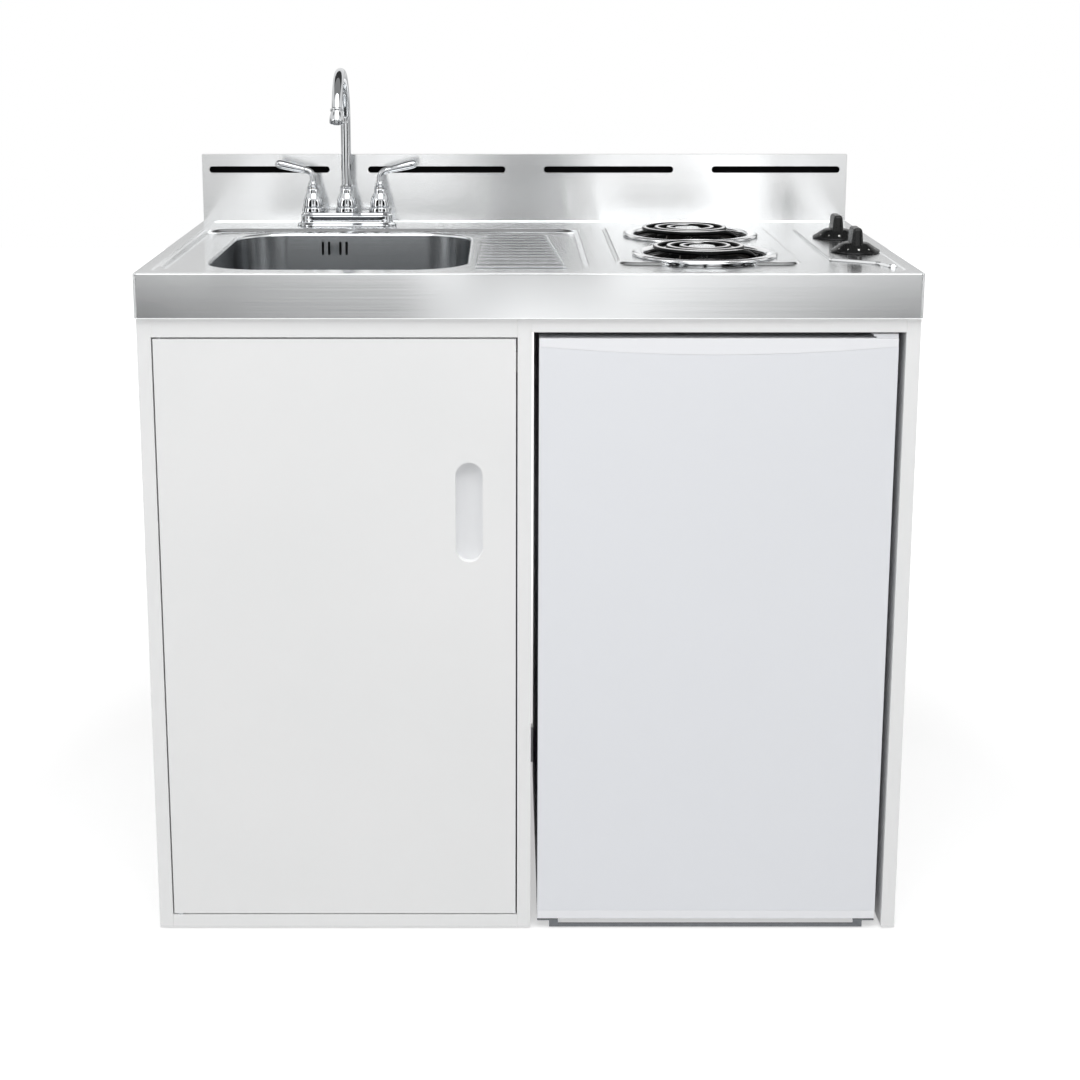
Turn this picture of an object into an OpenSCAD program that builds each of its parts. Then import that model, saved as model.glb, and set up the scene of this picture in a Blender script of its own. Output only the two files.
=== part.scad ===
// Kitchenette unit: a white sink cabinet and an under-counter refrigerator below one
// pressed steel counter with a sink, a drainer and two coil burners.
// Origin on the floor at the centre of the counter's outline. X right, Y to the rear, Z up.

/* [Overall] */
// Width of the counter
unit_w = 990.6; // [960:0.1:1100]
// Depth of the counter
unit_d = 609.6; // [600:0.1:650]
// Height of the counter's rim above the floor
counter_h = 889; // [880:1:920]
// Clearance round a shaft or pin
running_fit = 0.05; // [0.02:0.01:0.1]
// Clearance between pieces that move past each other
part_gap = 0.3; // [0.3:0.1:0.5]

/* [Cabinet] */
// Thickness of the cabinet board
board_t = 18; // [16:1:19]
// Width of the sink cabinet
sink_box_w = 498; // [490:1:505]
// Distance from the counter's side to the cabinet's side
side_overhang = 1.5; // [0:0.5:4]
// Distance from the apron's face to the cabinet's face
front_overhang = 6; // [2:1:12]
// Distance from the cabinet's back to the counter's back
rear_overhang = 5; // [0:1:8]
// Height of the glides under the panels
glide_h = 3; // [2:0.5:5]
// Diameter of the glides
glide_d = 15; // [12:1:16]
// Height of the rail over the cabinet door
door_rail_h = 24; // [20:1:30]
// Height of the rail over the refrigerator
bay_rail_h = 17.5; // [14:0.5:20]
// Height of the rear rails
rear_rail_h = 60; // [40:5:80]
// Thickness of the back panel
back_t = 5; // [3:1:6]

/* [Cabinet door] */
// Gap round the cabinet door
door_gap = 2; // [1.6:0.1:3]
// Distance from the door's edge to its pivot pins
pivot_inset = 8; // [7:0.5:9]
// Distance from the door's face to its pivot pins
pivot_depth = 5; // [4.5:0.5:6]
// Diameter of the pivot pins
pivot_d = 5; // [4:0.5:6]
// Length of a pivot pin inside the door
pivot_reach = 14; // [10:1:20]
// Width of the cup pull
pull_w = 35; // [30:1:45]
// Height of the cup pull
pull_h = 132; // [100:1:160]
// Depth of the cup pull
pull_deep = 14; // [10:0.5:14]
// Wall of the cup pull
pull_t = 1.5; // [1:0.5:2]
// Distance from the cup pull's middle to the door's free edge
pull_edge = 60; // [40:1:90]
// Height of the cup pull's middle above the floor
pull_z = 579; // [450:1:650]

/* [Counter] */
// Height of the counter's apron
apron_h = 58; // [54:1:65]
// Thickness of the counter's steel sheet
sheet_t = 1.2; // [1:0.1:1.5]
// Width of the flange folded in at the foot of the apron
flange_w = 20; // [18:1:22]
// Width of the raised rim
rim_w = 18; // [16:1:20]
// Drop from the rim to the working surface
field_drop = 1.5; // [1:0.5:2]
// Height of the rear upstand
splash_h = 101; // [95:1:115]
// Thickness of the rear upstand
splash_t = 12.7; // [10:0.1:15]
// Height of the vent slots
vent_h = 10; // [8:1:12]
// Height of the vent slots above the rim
vent_z = 78; // [60:1:82]
// Bridge between two vent slots
vent_bridge = 59; // [40:1:70]
// Distance from an end slot to the counter's side
vent_margin = 11; // [8:1:20]
// Offset of the right bridge from the tap's mirrored place
vent_shift = 12; // [0:1:24]

/* [Sink] */
// Distance from the counter's left side to the sunken tray
tray_left = 22; // [22:1:28]
// Distance from the tray to the raised hob
hob_gap = 37.3; // [30:0.1:45]
// Distance from the counter's front to the tray
tray_front = 42; // [38:1:46]
// Distance from the tray to the upstand
tap_ledge = 96.9; // [90:0.1:105]
// Drop from the working surface to the tray
tray_drop = 5; // [4:0.5:6]
// Corner radius of the tray
tray_r = 42; // [35:1:50]
// Width of the bowl's opening
bowl_w = 342; // [330:1:350]
// Distance from the tray's left side to the bowl's opening
bowl_side = 51.3; // [46:0.1:56]
// Distance from the tray's front to the bowl's opening
bowl_front = 43; // [38:1:50]
// Distance from the bowl's opening to the tray's rear
bowl_ledge = 15; // [13:1:24]
// Depth of the bowl
bowl_deep = 150; // [130:1:160]
// Corner radius of the bowl
bowl_r = 75; // [60:1:90]
// Radius between the bowl's wall and its floor
bowl_floor_r = 36; // [25:1:45]
// Width of the flange that holds the bowl under the tray
bowl_flange = 9; // [6:1:12]
// Radius of the drain's flange
drain_r = 56; // [54:1:58]
// Depth of the dish pressed round the drain
drain_dish = 4; // [3:0.5:5]
// Radius of the drain's tailpiece
tailpiece_r = 19.05; // [16:0.05:20]
// Length of the drain's tailpiece below its outlet
tailpiece_l = 90; // [60:5:150]
// Distance from the bowl's middle to the overflow
overflow_left = 33; // [25:1:45]
// Number of drainer ribs
rib_count = 12; // [10:1:12]
// Distance from one drainer rib to the next
rib_pitch = 30.4; // [28:0.1:31]
// Width of a drainer rib
rib_w = 13; // [10:1:16]
// Height of a drainer rib
rib_h = 1.6; // [1:0.2:2]

/* [Tap] */
// Distance from the tap's middle to the bowl's middle
tap_left = 19; // [10:1:27]
// Distance from the tap's middle to the upstand
tap_back = 46.9; // [42:0.1:50]
// Distance between the two lever axes
tap_centres = 101.6; // [98:0.1:104]
// Radius of the spout tube
spout_r = 7.5; // [7:0.1:7.8]
// Wall of the spout tube
spout_t = 1.3; // [1:0.1:2]
// Height at which the spout begins to bend
spout_rise = 153; // [120:1:170]
// Radius of the spout's bend
spout_bend = 77; // [60:1:80]
// Angle of the spout's bend
spout_turn = 158; // [140:1:170]
// Length of a lever
lever_l = 56; // [45:1:60]

/* [Hob] */
// Rise from the working surface to the hob and the knob panel
hob_rise = 3.5; // [2:0.5:4]
// Distance from the hob's middle to the counter's side
hob_right = 259.8; // [256:0.1:263]
// Width of the raised hob
hob_w = 241; // [236:1:246]
// Length of the raised hob, front to back
hob_l = 414; // [405:1:420]
// Distance from the raised hob to the counter's front
hob_front = 86; // [80:1:90]
// Distance from the front burner's middle to the counter's front
front_burner = 165; // [162:1:170]
// Distance between the two burners
burner_pitch = 214; // [206:1:218]
// Outer radius of a burner's trim ring
ring_r = 96.5; // [94:0.5:99]
// Width of a burner's trim ring
ring_w = 15.5; // [14:0.5:17]
// Height of a burner's trim ring
ring_h = 5; // [4:0.5:6]
// Depth of a drip bowl
drip_deep = 32; // [28:1:34]
// Radius of the heating tube
tube_r = 3.5; // [3:0.1:3.6]
// Distance between the turns of the heating tube
turn_pitch = 17.3; // [15:0.1:18]
// Radius at which the spiral begins
turn_start = 22.5; // [22:0.5:24]
// Turns of the spiral
turns = 2.6; // [2.6:1:2.6]
// Height of the spiral's middle above the raised hob
coil_rise = 11; // [10.5:0.5:13]

/* [Knobs] */
// Distance from the knobs to the counter's side
knob_right = 54.3; // [52:0.1:57]
// Distance from the front knob to the counter's front
front_knob = 197; // [190:1:205]
// Distance between the two knobs
knob_pitch = 157; // [140:1:170]
// Radius of a knob's skirt
knob_r = 33; // [28:1:34]
// Height of a knob
knob_h = 33; // [26:1:36]
// Thickness of a knob's grip
grip_t = 14; // [10:1:16]

/* [Refrigerator] */
// Gap between the refrigerator and each side of its bay
fridge_side_gap = 9.3; // [8:0.1:13]
// Depth of the refrigerator's body
fridge_d = 438; // [420:1:445]
// Gap between the refrigerator's top and the rail over it
fridge_top_gap = 7.5; // [6.5:0.5:20]
// Height of the refrigerator's underside above the floor
fridge_lift = 18; // [16:1:24]
// Height of the door's lower edge above the floor
fridge_door_lift = 15; // [14:0.5:20]
// Thickness of the refrigerator's door
fridge_door_t = 40; // [36:1:45]
// Thickness of the door's seal
seal_t = 10; // [8:1:12]
// Thickness of the insulation
foam_t = 38; // [32:1:42]
// Thickness of the plastic liners
liner_t = 2; // [1.5:0.5:3]
// Distance from the door's hinge to its side and its face
fridge_hinge_inset = 12; // [10:1:13]
// Height of the grip strip at the door's ends
grip_end_h = 10.5; // [8:0.5:14]
// Height of the grip strip at the door's middle
grip_mid_h = 21; // [16:0.5:26]
// Height of the strip at the door's lower edge
foot_strip_h = 12; // [8:1:16]
// Height of the compressor's niche above the floor
niche_h = 200; // [190:1:210]
// Depth of the compressor's niche
niche_d = 130; // [125:1:140]
// Height of the lower shelf above the floor
lower_shelf_z = 300; // [280:5:330]
// Height of the upper shelf above the floor
upper_shelf_z = 470; // [440:5:500]

/* [Hidden] */
$fn = 48;
cut = 1;

// The unit's outline and levels
front_y = -unit_d / 2;
rear_y = unit_d / 2;
half_w = unit_w / 2;
cab_top = counter_h - apron_h;
cab_front = front_y + front_overhang;
cab_rear = rear_y - rear_overhang;
cab_left = -half_w + side_overhang;
cab_right = half_w - side_overhang;
sink_box_right = cab_left + sink_box_w;
panel_foot = glide_h;
floor_top = panel_foot + board_t;
inner_left = cab_left + board_t;
inner_right = sink_box_right - board_t;
bay_left = sink_box_right;
bay_right = cab_right - board_t;
rail_rear = cab_front + board_t;

// The cabinet door
door_x0 = inner_left + door_gap;
door_x1 = inner_right - door_gap;
door_z0 = floor_top + door_gap;
door_z1 = cab_top - door_rail_h - door_gap;
pivot_x = door_x0 + pivot_inset;
pivot_y = cab_front + pivot_depth;
pull_x = door_x1 - pull_edge;
catch_z = door_z1 - 45;
catch_w = 30;
catch_h = 25;
strike_t = 1.5;

// The counter
field_z = counter_h - field_drop;
tray_z = field_z - tray_drop;
hob_z = field_z + hob_rise;
splash_y = rear_y - splash_t;
splash_top = counter_h + splash_h;
field_rear = splash_y - 4;
field_r = 20;
burner_x = half_w - hob_right;
knob_x = half_w - knob_right;
tray_x0 = -half_w + tray_left;
tray_x1 = burner_x - hob_w / 2 - hob_gap;
tray_w = tray_x1 - tray_x0;
tray_y0 = front_y + tray_front;
tray_y1 = splash_y - tap_ledge;
tray_d = tray_y1 - tray_y0;
well_w = splash_t - 5;

// The sink
bowl_l = tray_d - bowl_front - bowl_ledge;
bowl_x = tray_x0 + bowl_side + bowl_w / 2;
bowl_y = tray_y0 + bowl_front + bowl_l / 2;
bowl_floor = tray_z - bowl_deep;
bowl_rear = bowl_y + bowl_l / 2;
dish_r = drain_r + 2;
dish_z = bowl_floor - drain_dish;
drain_cup_r = drain_r - 12;
drain_cup_h = 52;
outlet_r = tailpiece_r + 5;
outlet_h = 20;
spigot_r = tailpiece_r - 1;
spigot_l = outlet_h - 2;
port_z = dish_z - 30;
overflow_x = bowl_x - overflow_left;
overflow_z = tray_z - 23;
slot_w = 3.7;
slot_h = 20;
slot_steps = [-17.7, -8.35, 8.35, 17.7];
rib_y0 = tray_y0 + 62;
rib_left = bowl_x + bowl_w / 2 + 9;
rib_right = tray_x1 - 26;
rib_taper = 9;

// The tap
tap_x = bowl_x - tap_left;
tap_y = splash_y - tap_back;
tap_z = field_z;
tap_axes = [-tap_centres / 2, tap_centres / 2];
base_h = 20;
bonnet_h = 35;
bonnet_top = base_h + bonnet_h;
stem_r = 4;
valve_r = 9;
shank_r = 10.3;
shank_neck_r = shank_r - 0.4;
shank_free = 36;
nut_h = 10;
collar_r = 8.85;
collar_h = 10;
spout_end_y = -spout_bend * (1 - cos(spout_turn));
spout_end_z = spout_rise + spout_bend * sin(spout_turn);
aerator_l = 21;

// The hob
hob_y = front_y + hob_front + hob_l / 2;
hob_r = 28;
burner_ys = [front_y + front_burner, front_y + front_burner + burner_pitch];
ring_inner = ring_r - ring_w;
hole_r = ring_inner + 3;
drip_t = 0.8;
drip_rim_r = ring_r - 6.5;
drip_wall_r = ring_inner - 1.5;
ledge_r = drip_wall_r - 5.5;
ledge_drop = 4;
coil_z = hob_z + coil_rise;
coil_shift = -4;
leg_drop = 25;
leg_y = 10;
socket_x = 100;
socket_l = 24;
socket_w = 36;
socket_h = 16;
socket_pin_r = 2;
cheek_t = 2;
slot_half = 26;
medallion_r = 18;

// The box under the hob, its switches and knobs
box_x0 = burner_x - hob_w / 2 - 17;
box_x1 = knob_x + knob_r - 4;
box_y0 = front_y + hob_front - 20;
box_y1 = front_y + hob_front + hob_l + 10;
box_z0 = cab_top + 2;
box_top = field_z - sheet_t;
knob_ys = [front_y + front_knob, front_y + front_knob + knob_pitch];
knob_gap = 0.5;
shaft_r = 3;
shaft_grip = 10;
switch_h = 38;
switch_top = hob_z - sheet_t;
panel_x0 = knob_x - knob_r - 13;
panel_x1 = knob_x + knob_r + 3;
panel_y1 = knob_ys[1] + knob_r + 82;
panel_y0 = front_y + 57;
gland_x = knob_x - 25;
gland_z = box_z0 + 24;
gland_r = 11;
gland_bore = 5;

// The refrigerator
fridge_h = cab_top - bay_rail_h - fridge_top_gap;
fridge_w = bay_right - bay_left - 2 * fridge_side_gap;
fridge_x = (bay_left + bay_right) / 2;
fridge_x0 = fridge_x - fridge_w / 2;
fridge_x1 = fridge_x + fridge_w / 2;
fdoor_y0 = cab_front;
fdoor_y1 = fdoor_y0 + fridge_door_t;
fdoor_z0 = fridge_door_lift;
fdoor_z1 = fridge_h - 0.4;
fridge_y0 = fdoor_y1 + seal_t + part_gap;
fridge_y1 = fridge_y0 + fridge_d;
niche_y = fridge_y1 - niche_d;
skin_t = 1.2;
inner_x0 = fridge_x0 + foam_t;
inner_x1 = fridge_x1 - foam_t;
inner_z0 = fridge_lift + foam_t + 7;
inner_z1 = fridge_h - foam_t;
inner_y1 = fridge_y1 - foam_t - 7;
step_z = niche_h + foam_t;
step_y = niche_y - foam_t;
fhinge_x = fridge_x1 - fridge_hinge_inset;
fhinge_y = fdoor_y0 + fridge_hinge_inset;
fhinge_r = 4;
fhinge_reach = 16;
hinge_plate_t = 2;
bow_rise = grip_mid_h - grip_end_h;
bow_r = (fridge_w * fridge_w / 4 + bow_rise * bow_rise) / (2 * bow_rise);
dyke_x0 = inner_x0 + 11;
dyke_x1 = inner_x1 - 10;
dyke_z0 = inner_z0 + 20;
dyke_z1 = inner_z1 - 16;
dyke_rear = fdoor_y1 + 40;
dyke_t = 3;
bin_x0 = dyke_x0 + 15;
bin_x1 = dyke_x1 - 15;
bin_rear = fdoor_y1 + 84;
bin_h = 75;
bin_lift = 12;
bin_pitch = 220;
bin_zs = [dyke_z0 + bin_lift, dyke_z0 + bin_lift + bin_pitch];
hinge_post = 9;
shelf_setback = 120;
shelf_y0 = fdoor_y1 + shelf_setback;
shelf_y1 = inner_y1 - 6;
shelf_t = 5;
ledge_w = 6;
ledge_t = 5;
freezer_h = 94;
freezer_t = 1.5;
freezer_side = 15;
freezer_z1 = inner_z1 - 4;
freezer_z0 = freezer_z1 - freezer_h;
freezer_setback = 148;
freezer_y0 = fdoor_y1 + freezer_setback;
freezer_y1 = inner_y1 - 4;
freezer_x0 = inner_x0 + freezer_side;
freezer_x1 = inner_x1 - freezer_side;
flap_t = 6;
flap_gap = 2;
flap_pin_r = 2;
flap_y1 = freezer_y0 - flap_gap;
flap_y0 = flap_y1 - flap_t;
flap_z0 = freezer_z0 + 3;
flap_z1 = freezer_z1 - 4;
flap_axis_z = flap_z0 + 4;
flap_axis_y = (flap_y0 + flap_y1) / 2;
thermo_x = inner_x1 - 32;
thermo_y = shelf_y0 + 130;
thermo_z = freezer_z0 - 62;

// Builds a block between its lowest and highest corners.
module block(x0, x1, y0, y1, z0, z1) {
    translate([x0, y0, z0]) cube([x1 - x0, y1 - y0, z1 - z0]);
}

// Draws a rectangle with round corners, centred.
module round_rect(w, l, r) {
    square([w - 2 * r, l], center = true);
    square([w, l - 2 * r], center = true);
    for (sx = [-1, 1], sy = [-1, 1])
        translate([sx * (w / 2 - r), sy * (l / 2 - r)]) circle(r);
}

// Draws an upright slot with round ends, centred.
module upright_slot(w, h) {
    square([w, h - w], center = true);
    for (s = [-1, 1]) translate([0, s * (h - w) / 2]) circle(w / 2);
}

// Draws a level slot with round ends, centred.
module level_slot(w, h) {
    rotate(90) upright_slot(h, w);
}

// Gives a drawing of X and Z a thickness from y0 to y1.
module facing(y0, y1) {
    translate([0, y1, 0]) rotate([90, 0, 0]) linear_extrude(y1 - y0) children();
}

// Lays a round bar from point a to point b.
module rod(a, b, r) {
    v = b - a;
    len = norm(v);
    translate(a)
        rotate([0, acos(v[2] / len), atan2(v[1], v[0])])
            cylinder(h = len, r = r);
}

// ---- Cabinet ----

module upright_panel(x0) {
    color("#EAEBEB") block(x0, x0 + board_t, cab_front, cab_rear, panel_foot, cab_top);
}

module side_panels() {
    for (x = [cab_left, bay_right]) upright_panel(x);
}

module centre_panel() { upright_panel(inner_right); }

module cabinet_floor() {
    color("#EAEBEB") difference() {
        block(inner_left, inner_right, cab_front, cab_rear, panel_foot, floor_top);
        pivot_pin_hole(panel_foot - cut, floor_top + cut);
    }
}

module back_panel() {
    color("#E2E2E0")
        block(inner_left, inner_right, cab_rear - back_t, cab_rear,
            floor_top, cab_top - rear_rail_h);
}

module front_rails() {
    color("#EAEBEB") {
        difference() {
            block(inner_left, inner_right, cab_front, rail_rear,
                cab_top - door_rail_h, cab_top);
            pivot_pin_hole(cab_top - door_rail_h - cut, cab_top + cut);
        }
        block(bay_left, bay_right, cab_front, rail_rear, cab_top - bay_rail_h, cab_top);
    }
}

module rear_rails() {
    color("#EAEBEB") {
        block(inner_left, inner_right, cab_rear - board_t, cab_rear,
            cab_top - rear_rail_h, cab_top);
        block(bay_left, bay_right, cab_rear - board_t, cab_rear,
            cab_top - rear_rail_h, cab_top);
        block(bay_left, bay_right, cab_rear - board_t, cab_rear,
            panel_foot, panel_foot + rear_rail_h);
    }
}

module cabinet_glides() {
    inset = 40;
    color("#5E6062")
        for (x = [cab_left, inner_right, bay_right])
            for (y = [cab_front + inset, cab_rear - inset])
                translate([x + board_t / 2, y, 0]) cylinder(h = glide_h, d = glide_d);
}

// ---- Cabinet door ----

module pivot_pin_hole(z0, z1) {
    translate([pivot_x, pivot_y, z0])
        cylinder(h = z1 - z0, r = pivot_d / 2 + running_fit);
}

module cabinet_door() {
    color("#EAEBEB") difference() {
        block(door_x0, door_x1, cab_front, rail_rear, door_z0, door_z1);
        pivot_pin_hole(door_z0 - cut, door_z0 + pivot_reach + cut);
        pivot_pin_hole(door_z1 - pivot_reach - cut, door_z1 + cut);
        translate([pull_x, 0, pull_z])
            facing(cab_front - cut, cab_front + pull_deep + running_fit)
                upright_slot(pull_w, pull_h);
    }
}

module door_pull_cup() {
    lip_t = 0.6;
    lip_w = 1.4;
    color("#DFE1E3") translate([pull_x, 0, pull_z]) difference() {
        union() {
            facing(cab_front, cab_front + pull_deep)
                upright_slot(pull_w - 2 * running_fit, pull_h - 2 * running_fit);
            facing(cab_front - lip_t, cab_front)
                upright_slot(pull_w + 2 * lip_w, pull_h + 2 * lip_w);
        }
        facing(cab_front - cut, cab_front + pull_deep - pull_t)
            upright_slot(pull_w - 2 * pull_t, pull_h - 2 * pull_t);
    }
}

module door_pivot_pins() {
    washer_r = 6;
    color("#B8BABC") {
        translate([pivot_x, pivot_y, panel_foot])
            cylinder(h = floor_top + door_gap + pivot_reach - panel_foot, d = pivot_d);
        translate([pivot_x, pivot_y, floor_top]) difference() {
            cylinder(h = door_gap, r = min(washer_r, pivot_depth));
            translate([0, 0, -cut])
                cylinder(h = door_gap + 2 * cut, r = pivot_d / 2 + running_fit);
        }
        translate([pivot_x, pivot_y, door_z1 - pivot_reach])
            cylinder(h = cab_top - door_z1 + pivot_reach, d = pivot_d);
    }
}

module door_catch() {
    color("#E6E6E4")
        block(inner_right - catch_w, inner_right, rail_rear + strike_t + part_gap,
            rail_rear + strike_t + part_gap + 16, catch_z, catch_z + catch_h);
}

module door_strike_plate() {
    color("#B8BABC")
        block(inner_right - catch_w, door_x1 - 3, rail_rear, rail_rear + strike_t,
            catch_z + 2, catch_z + catch_h - 2);
}

// ---- Counter ----

// Draws the raised panel under the knobs: a rectangle that narrows towards the front.
module knob_panel_outline(e) {
    corner = 8;
    near = panel_y0 + 36;
    points = [
        [panel_x0 + e, panel_y1 - corner],
        [panel_x0 + e, near + 41 + e / 2],
        [panel_x1 - corner - 14, near + e],
        [panel_x1 - corner, panel_y0 + corner],
        [panel_x1 - e, panel_y0 + corner],
        [panel_x1 - e, panel_y1 - corner]
    ];
    polygon(points);
    translate([(panel_x0 + panel_x1) / 2, panel_y1 - corner])
        round_rect(panel_x1 - panel_x0 - 2 * e, 2 * corner - 2 * e, corner - e - 0.01);
}

// The counter as a solid, drawn in by e from its outer surface.
module counter_form(e) {
    field_l = field_rear - front_y - rim_w;
    field_y = (field_rear + front_y + rim_w) / 2;
    difference() {
        union() {
            difference() {
                translate([0, 0, cab_top - e])
                    linear_extrude(apron_h) round_rect(unit_w - 2 * e, unit_d - 2 * e, 5);
                translate([0, field_y, field_z - e])
                    linear_extrude(apron_h)
                        round_rect(unit_w - 2 * rim_w + 2 * e, field_l + 2 * e, field_r + e);
            }
            translate([burner_x, hob_y, tray_z - 2 * e])
                linear_extrude(hob_z - tray_z + e)
                    round_rect(hob_w - 2 * e, hob_l - 2 * e, hob_r - e);
            translate([0, 0, tray_z - 2 * e])
                linear_extrude(hob_z - tray_z + e) knob_panel_outline(e);
        }
        translate([(tray_x0 + tray_x1) / 2, (tray_y0 + tray_y1) / 2, tray_z - e])
            linear_extrude(apron_h)
                round_rect(tray_w + 2 * e, tray_d + 2 * e, tray_r + e);
    }
}

module drainer_ribs() {
    for (i = [0 : rib_count - 1]) {
        far = i / (rib_count - 1);
        x0 = rib_left + rib_taper * far;
        x1 = rib_right - 2 * rib_taper * far;
        translate([(x0 + x1) / 2, rib_y0 + i * rib_pitch, tray_z])
            rotate([0, -90, 0]) translate([0, 0, -(x1 - x0) / 2])
                linear_extrude(x1 - x0)
                    polygon([[0, -rib_w / 2], [rib_h, -rib_w / 4],
                        [rib_h, rib_w / 4], [0, rib_w / 2]]);
    }
}

module countertop() {
    color("#C9CBCD") {
        difference() {
            union() {
                difference() {
                    counter_form(0);
                    counter_form(sheet_t);
                }
                drainer_ribs();
            }
            translate([bowl_x, bowl_y, tray_z - apron_h / 2])
                linear_extrude(apron_h) round_rect(bowl_w, bowl_l, bowl_r);
            for (y = burner_ys)
                translate([burner_x, y, hob_z - apron_h / 2])
                    cylinder(h = apron_h, r = hole_r);
            for (y = knob_ys)
                translate([knob_x, y, hob_z - apron_h / 2])
                    cylinder(h = apron_h, r = shaft_r + 1);
            for (x = tap_axes)
                translate([tap_x + x, tap_y, tap_z - apron_h / 2])
                    cylinder(h = apron_h, r = shank_r + 2);
            for (s = [-1, 1])
                translate([s * half_w / 2, (splash_y + rear_y) / 2, counter_h - apron_h / 4])
                    linear_extrude(apron_h) level_slot(half_w - 60, well_w);
        }
        translate([0, 0, cab_top]) linear_extrude(sheet_t) difference() {
            round_rect(unit_w - sheet_t, unit_d - sheet_t, 5);
            square([unit_w - 2 * flange_w, unit_d - 2 * flange_w], center = true);
        }
    }
}

// The upstand's front sheet and the plain sheet behind it.
module backsplash() {
    bridges = [tap_x, 0, -tap_x - vent_shift];
    starts = concat([-half_w + vent_margin], [for (x = bridges) x + vent_bridge / 2]);
    ends = concat([for (x = bridges) x - vent_bridge / 2], [half_w - vent_margin]);
    color("#D3D5D7") {
        difference() {
            block(-half_w, half_w, splash_y, splash_y + sheet_t, counter_h, splash_top);
            for (i = [0 : len(starts) - 1])
                translate([(starts[i] + ends[i]) / 2, 0, counter_h + vent_z])
                    facing(splash_y - cut, splash_y + splash_t / 2)
                        level_slot(ends[i] - starts[i], vent_h);
        }
        block(-half_w, half_w, rear_y - sheet_t, rear_y, counter_h, splash_top);
    }
}

// The top and the ends of the upstand, folded between its two sheets.
module backsplash_returns() {
    t = sheet_t;
    color("#D3D5D7") {
        block(-half_w, half_w, splash_y + t, rear_y - t, splash_top - t, splash_top);
        for (x = [-half_w, half_w - t])
            block(x, x + t, splash_y + t, rear_y - t, counter_h, splash_top - t);
    }
}

// ---- Sink ----

// The bowl as a solid, grown by e from its inner surface.
module bowl_form(e) {
    floor_r = bowl_floor_r;
    slice = 0.4;
    translate([0, 0, bowl_floor + floor_r - e])
        linear_extrude(tray_z - sheet_t - bowl_floor - floor_r + e)
            round_rect(bowl_w + 2 * e, bowl_l + 2 * e, bowl_r + e);
    hull() for (s = [[1, 0], [0.3, 0.3], [0, 1]]) {
        inset = floor_r * s[1] - e;
        translate([0, 0, bowl_floor + (floor_r - slice) * s[0] - e])
            linear_extrude(slice)
                round_rect(bowl_w - 2 * inset, bowl_l - 2 * inset, bowl_r - inset, $fn = 32);
    }
}

module overflow_slots() {
    for (x = slot_steps)
        translate([overflow_x + x, 0, overflow_z])
            facing(bowl_rear - 5, bowl_rear + 5) upright_slot(slot_w, slot_h);
}

module sink_bowl() {
    rim_z = tray_z - sheet_t;
    color("#9FA2A5") difference() {
        union() {
            translate([bowl_x, bowl_y, 0]) bowl_form(sheet_t);
            translate([bowl_x, bowl_y, rim_z - sheet_t])
                linear_extrude(sheet_t)
                    round_rect(bowl_w + 2 * bowl_flange, bowl_l + 2 * bowl_flange,
                        bowl_r + bowl_flange);
            translate([bowl_x, bowl_y, dish_z - sheet_t])
                cylinder(h = drain_dish, r = dish_r + sheet_t);
        }
        translate([bowl_x, bowl_y, 0]) bowl_form(0);
        translate([bowl_x, bowl_y, rim_z - 3 * sheet_t])
            linear_extrude(6 * sheet_t) round_rect(bowl_w, bowl_l, bowl_r);
        translate([bowl_x, bowl_y, dish_z]) cylinder(h = 2 * drain_dish, r = dish_r);
        translate([bowl_x, bowl_y, dish_z - 2 * drain_dish])
            cylinder(h = 4 * drain_dish, r = drain_cup_r + 1);
        overflow_slots();
        translate([overflow_x, bowl_rear + 5, overflow_z])
            rotate([90, 0, 0]) cylinder(h = 10, r = slot_w);
    }
}

module overflow_fitting() {
    box_w = 50;
    box_h = 32;
    box_d = 20;
    wall_y = bowl_rear + sheet_t;
    head_r = 6;
    color("#C9CBCD") {
        difference() {
            block(overflow_x - box_w / 2, overflow_x + box_w / 2, wall_y, wall_y + box_d,
                overflow_z - box_h / 2, overflow_z + box_h / 2);
            block(overflow_x - box_w / 2 + sheet_t, overflow_x + box_w / 2 - sheet_t,
                wall_y - cut, wall_y + box_d - sheet_t,
                overflow_z - box_h / 2 + sheet_t, overflow_z + box_h / 2 - sheet_t);
            translate([overflow_x, wall_y + box_d / 2 + 2, overflow_z - box_h])
                cylinder(h = box_h, r = 7);
        }
        translate([overflow_x, bowl_rear, overflow_z]) rotate([90, 0, 0]) {
            cylinder(h = 2.2, r1 = head_r, r2 = head_r - 2);
            translate([0, 0, -8]) cylinder(h = 8, r = slot_w - running_fit);
        }
    }
}

module overflow_pipe() {
    pipe_r = 7;
    top = [overflow_x, bowl_rear + sheet_t + 12, overflow_z - 16 + sheet_t / 2];
    elbow = [top[0], top[1], port_z];
    port = [bowl_x, bowl_y + drain_cup_r + 14, port_z];
    color("#E8E8E6") {
        rod(elbow, top, pipe_r - running_fit);
        translate(elbow) sphere(pipe_r + 1);
        rod(elbow, port, pipe_r);
        rod(port, port + [0, -12, 0], pipe_r);
        translate(port) sphere(pipe_r + 1);
    }
}

module drain_body() {
    plate_z = dish_z - drain_cup_h;
    color("#C9CBCD") {
        translate([bowl_x, bowl_y, dish_z]) rotate_extrude() polygon([
            [drain_cup_r - 2, sheet_t], [drain_r, sheet_t], [drain_r, 0], [drain_cup_r, 0],
            [drain_cup_r, -drain_cup_h], [outlet_r, -drain_cup_h],
            [outlet_r, -drain_cup_h - outlet_h],
            [spigot_r + running_fit, -drain_cup_h - outlet_h],
            [spigot_r + running_fit, -drain_cup_h - 2], [tailpiece_r - 3, -drain_cup_h - 2],
            [tailpiece_r - 3, -drain_cup_h + 2], [drain_cup_r - 2, -drain_cup_h + 2]
        ]);
        translate([bowl_x, bowl_y + drain_cup_r - 1, port_z])
            rotate([-90, 0, 0]) cylinder(h = 3, r = 9);
    }
}

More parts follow.
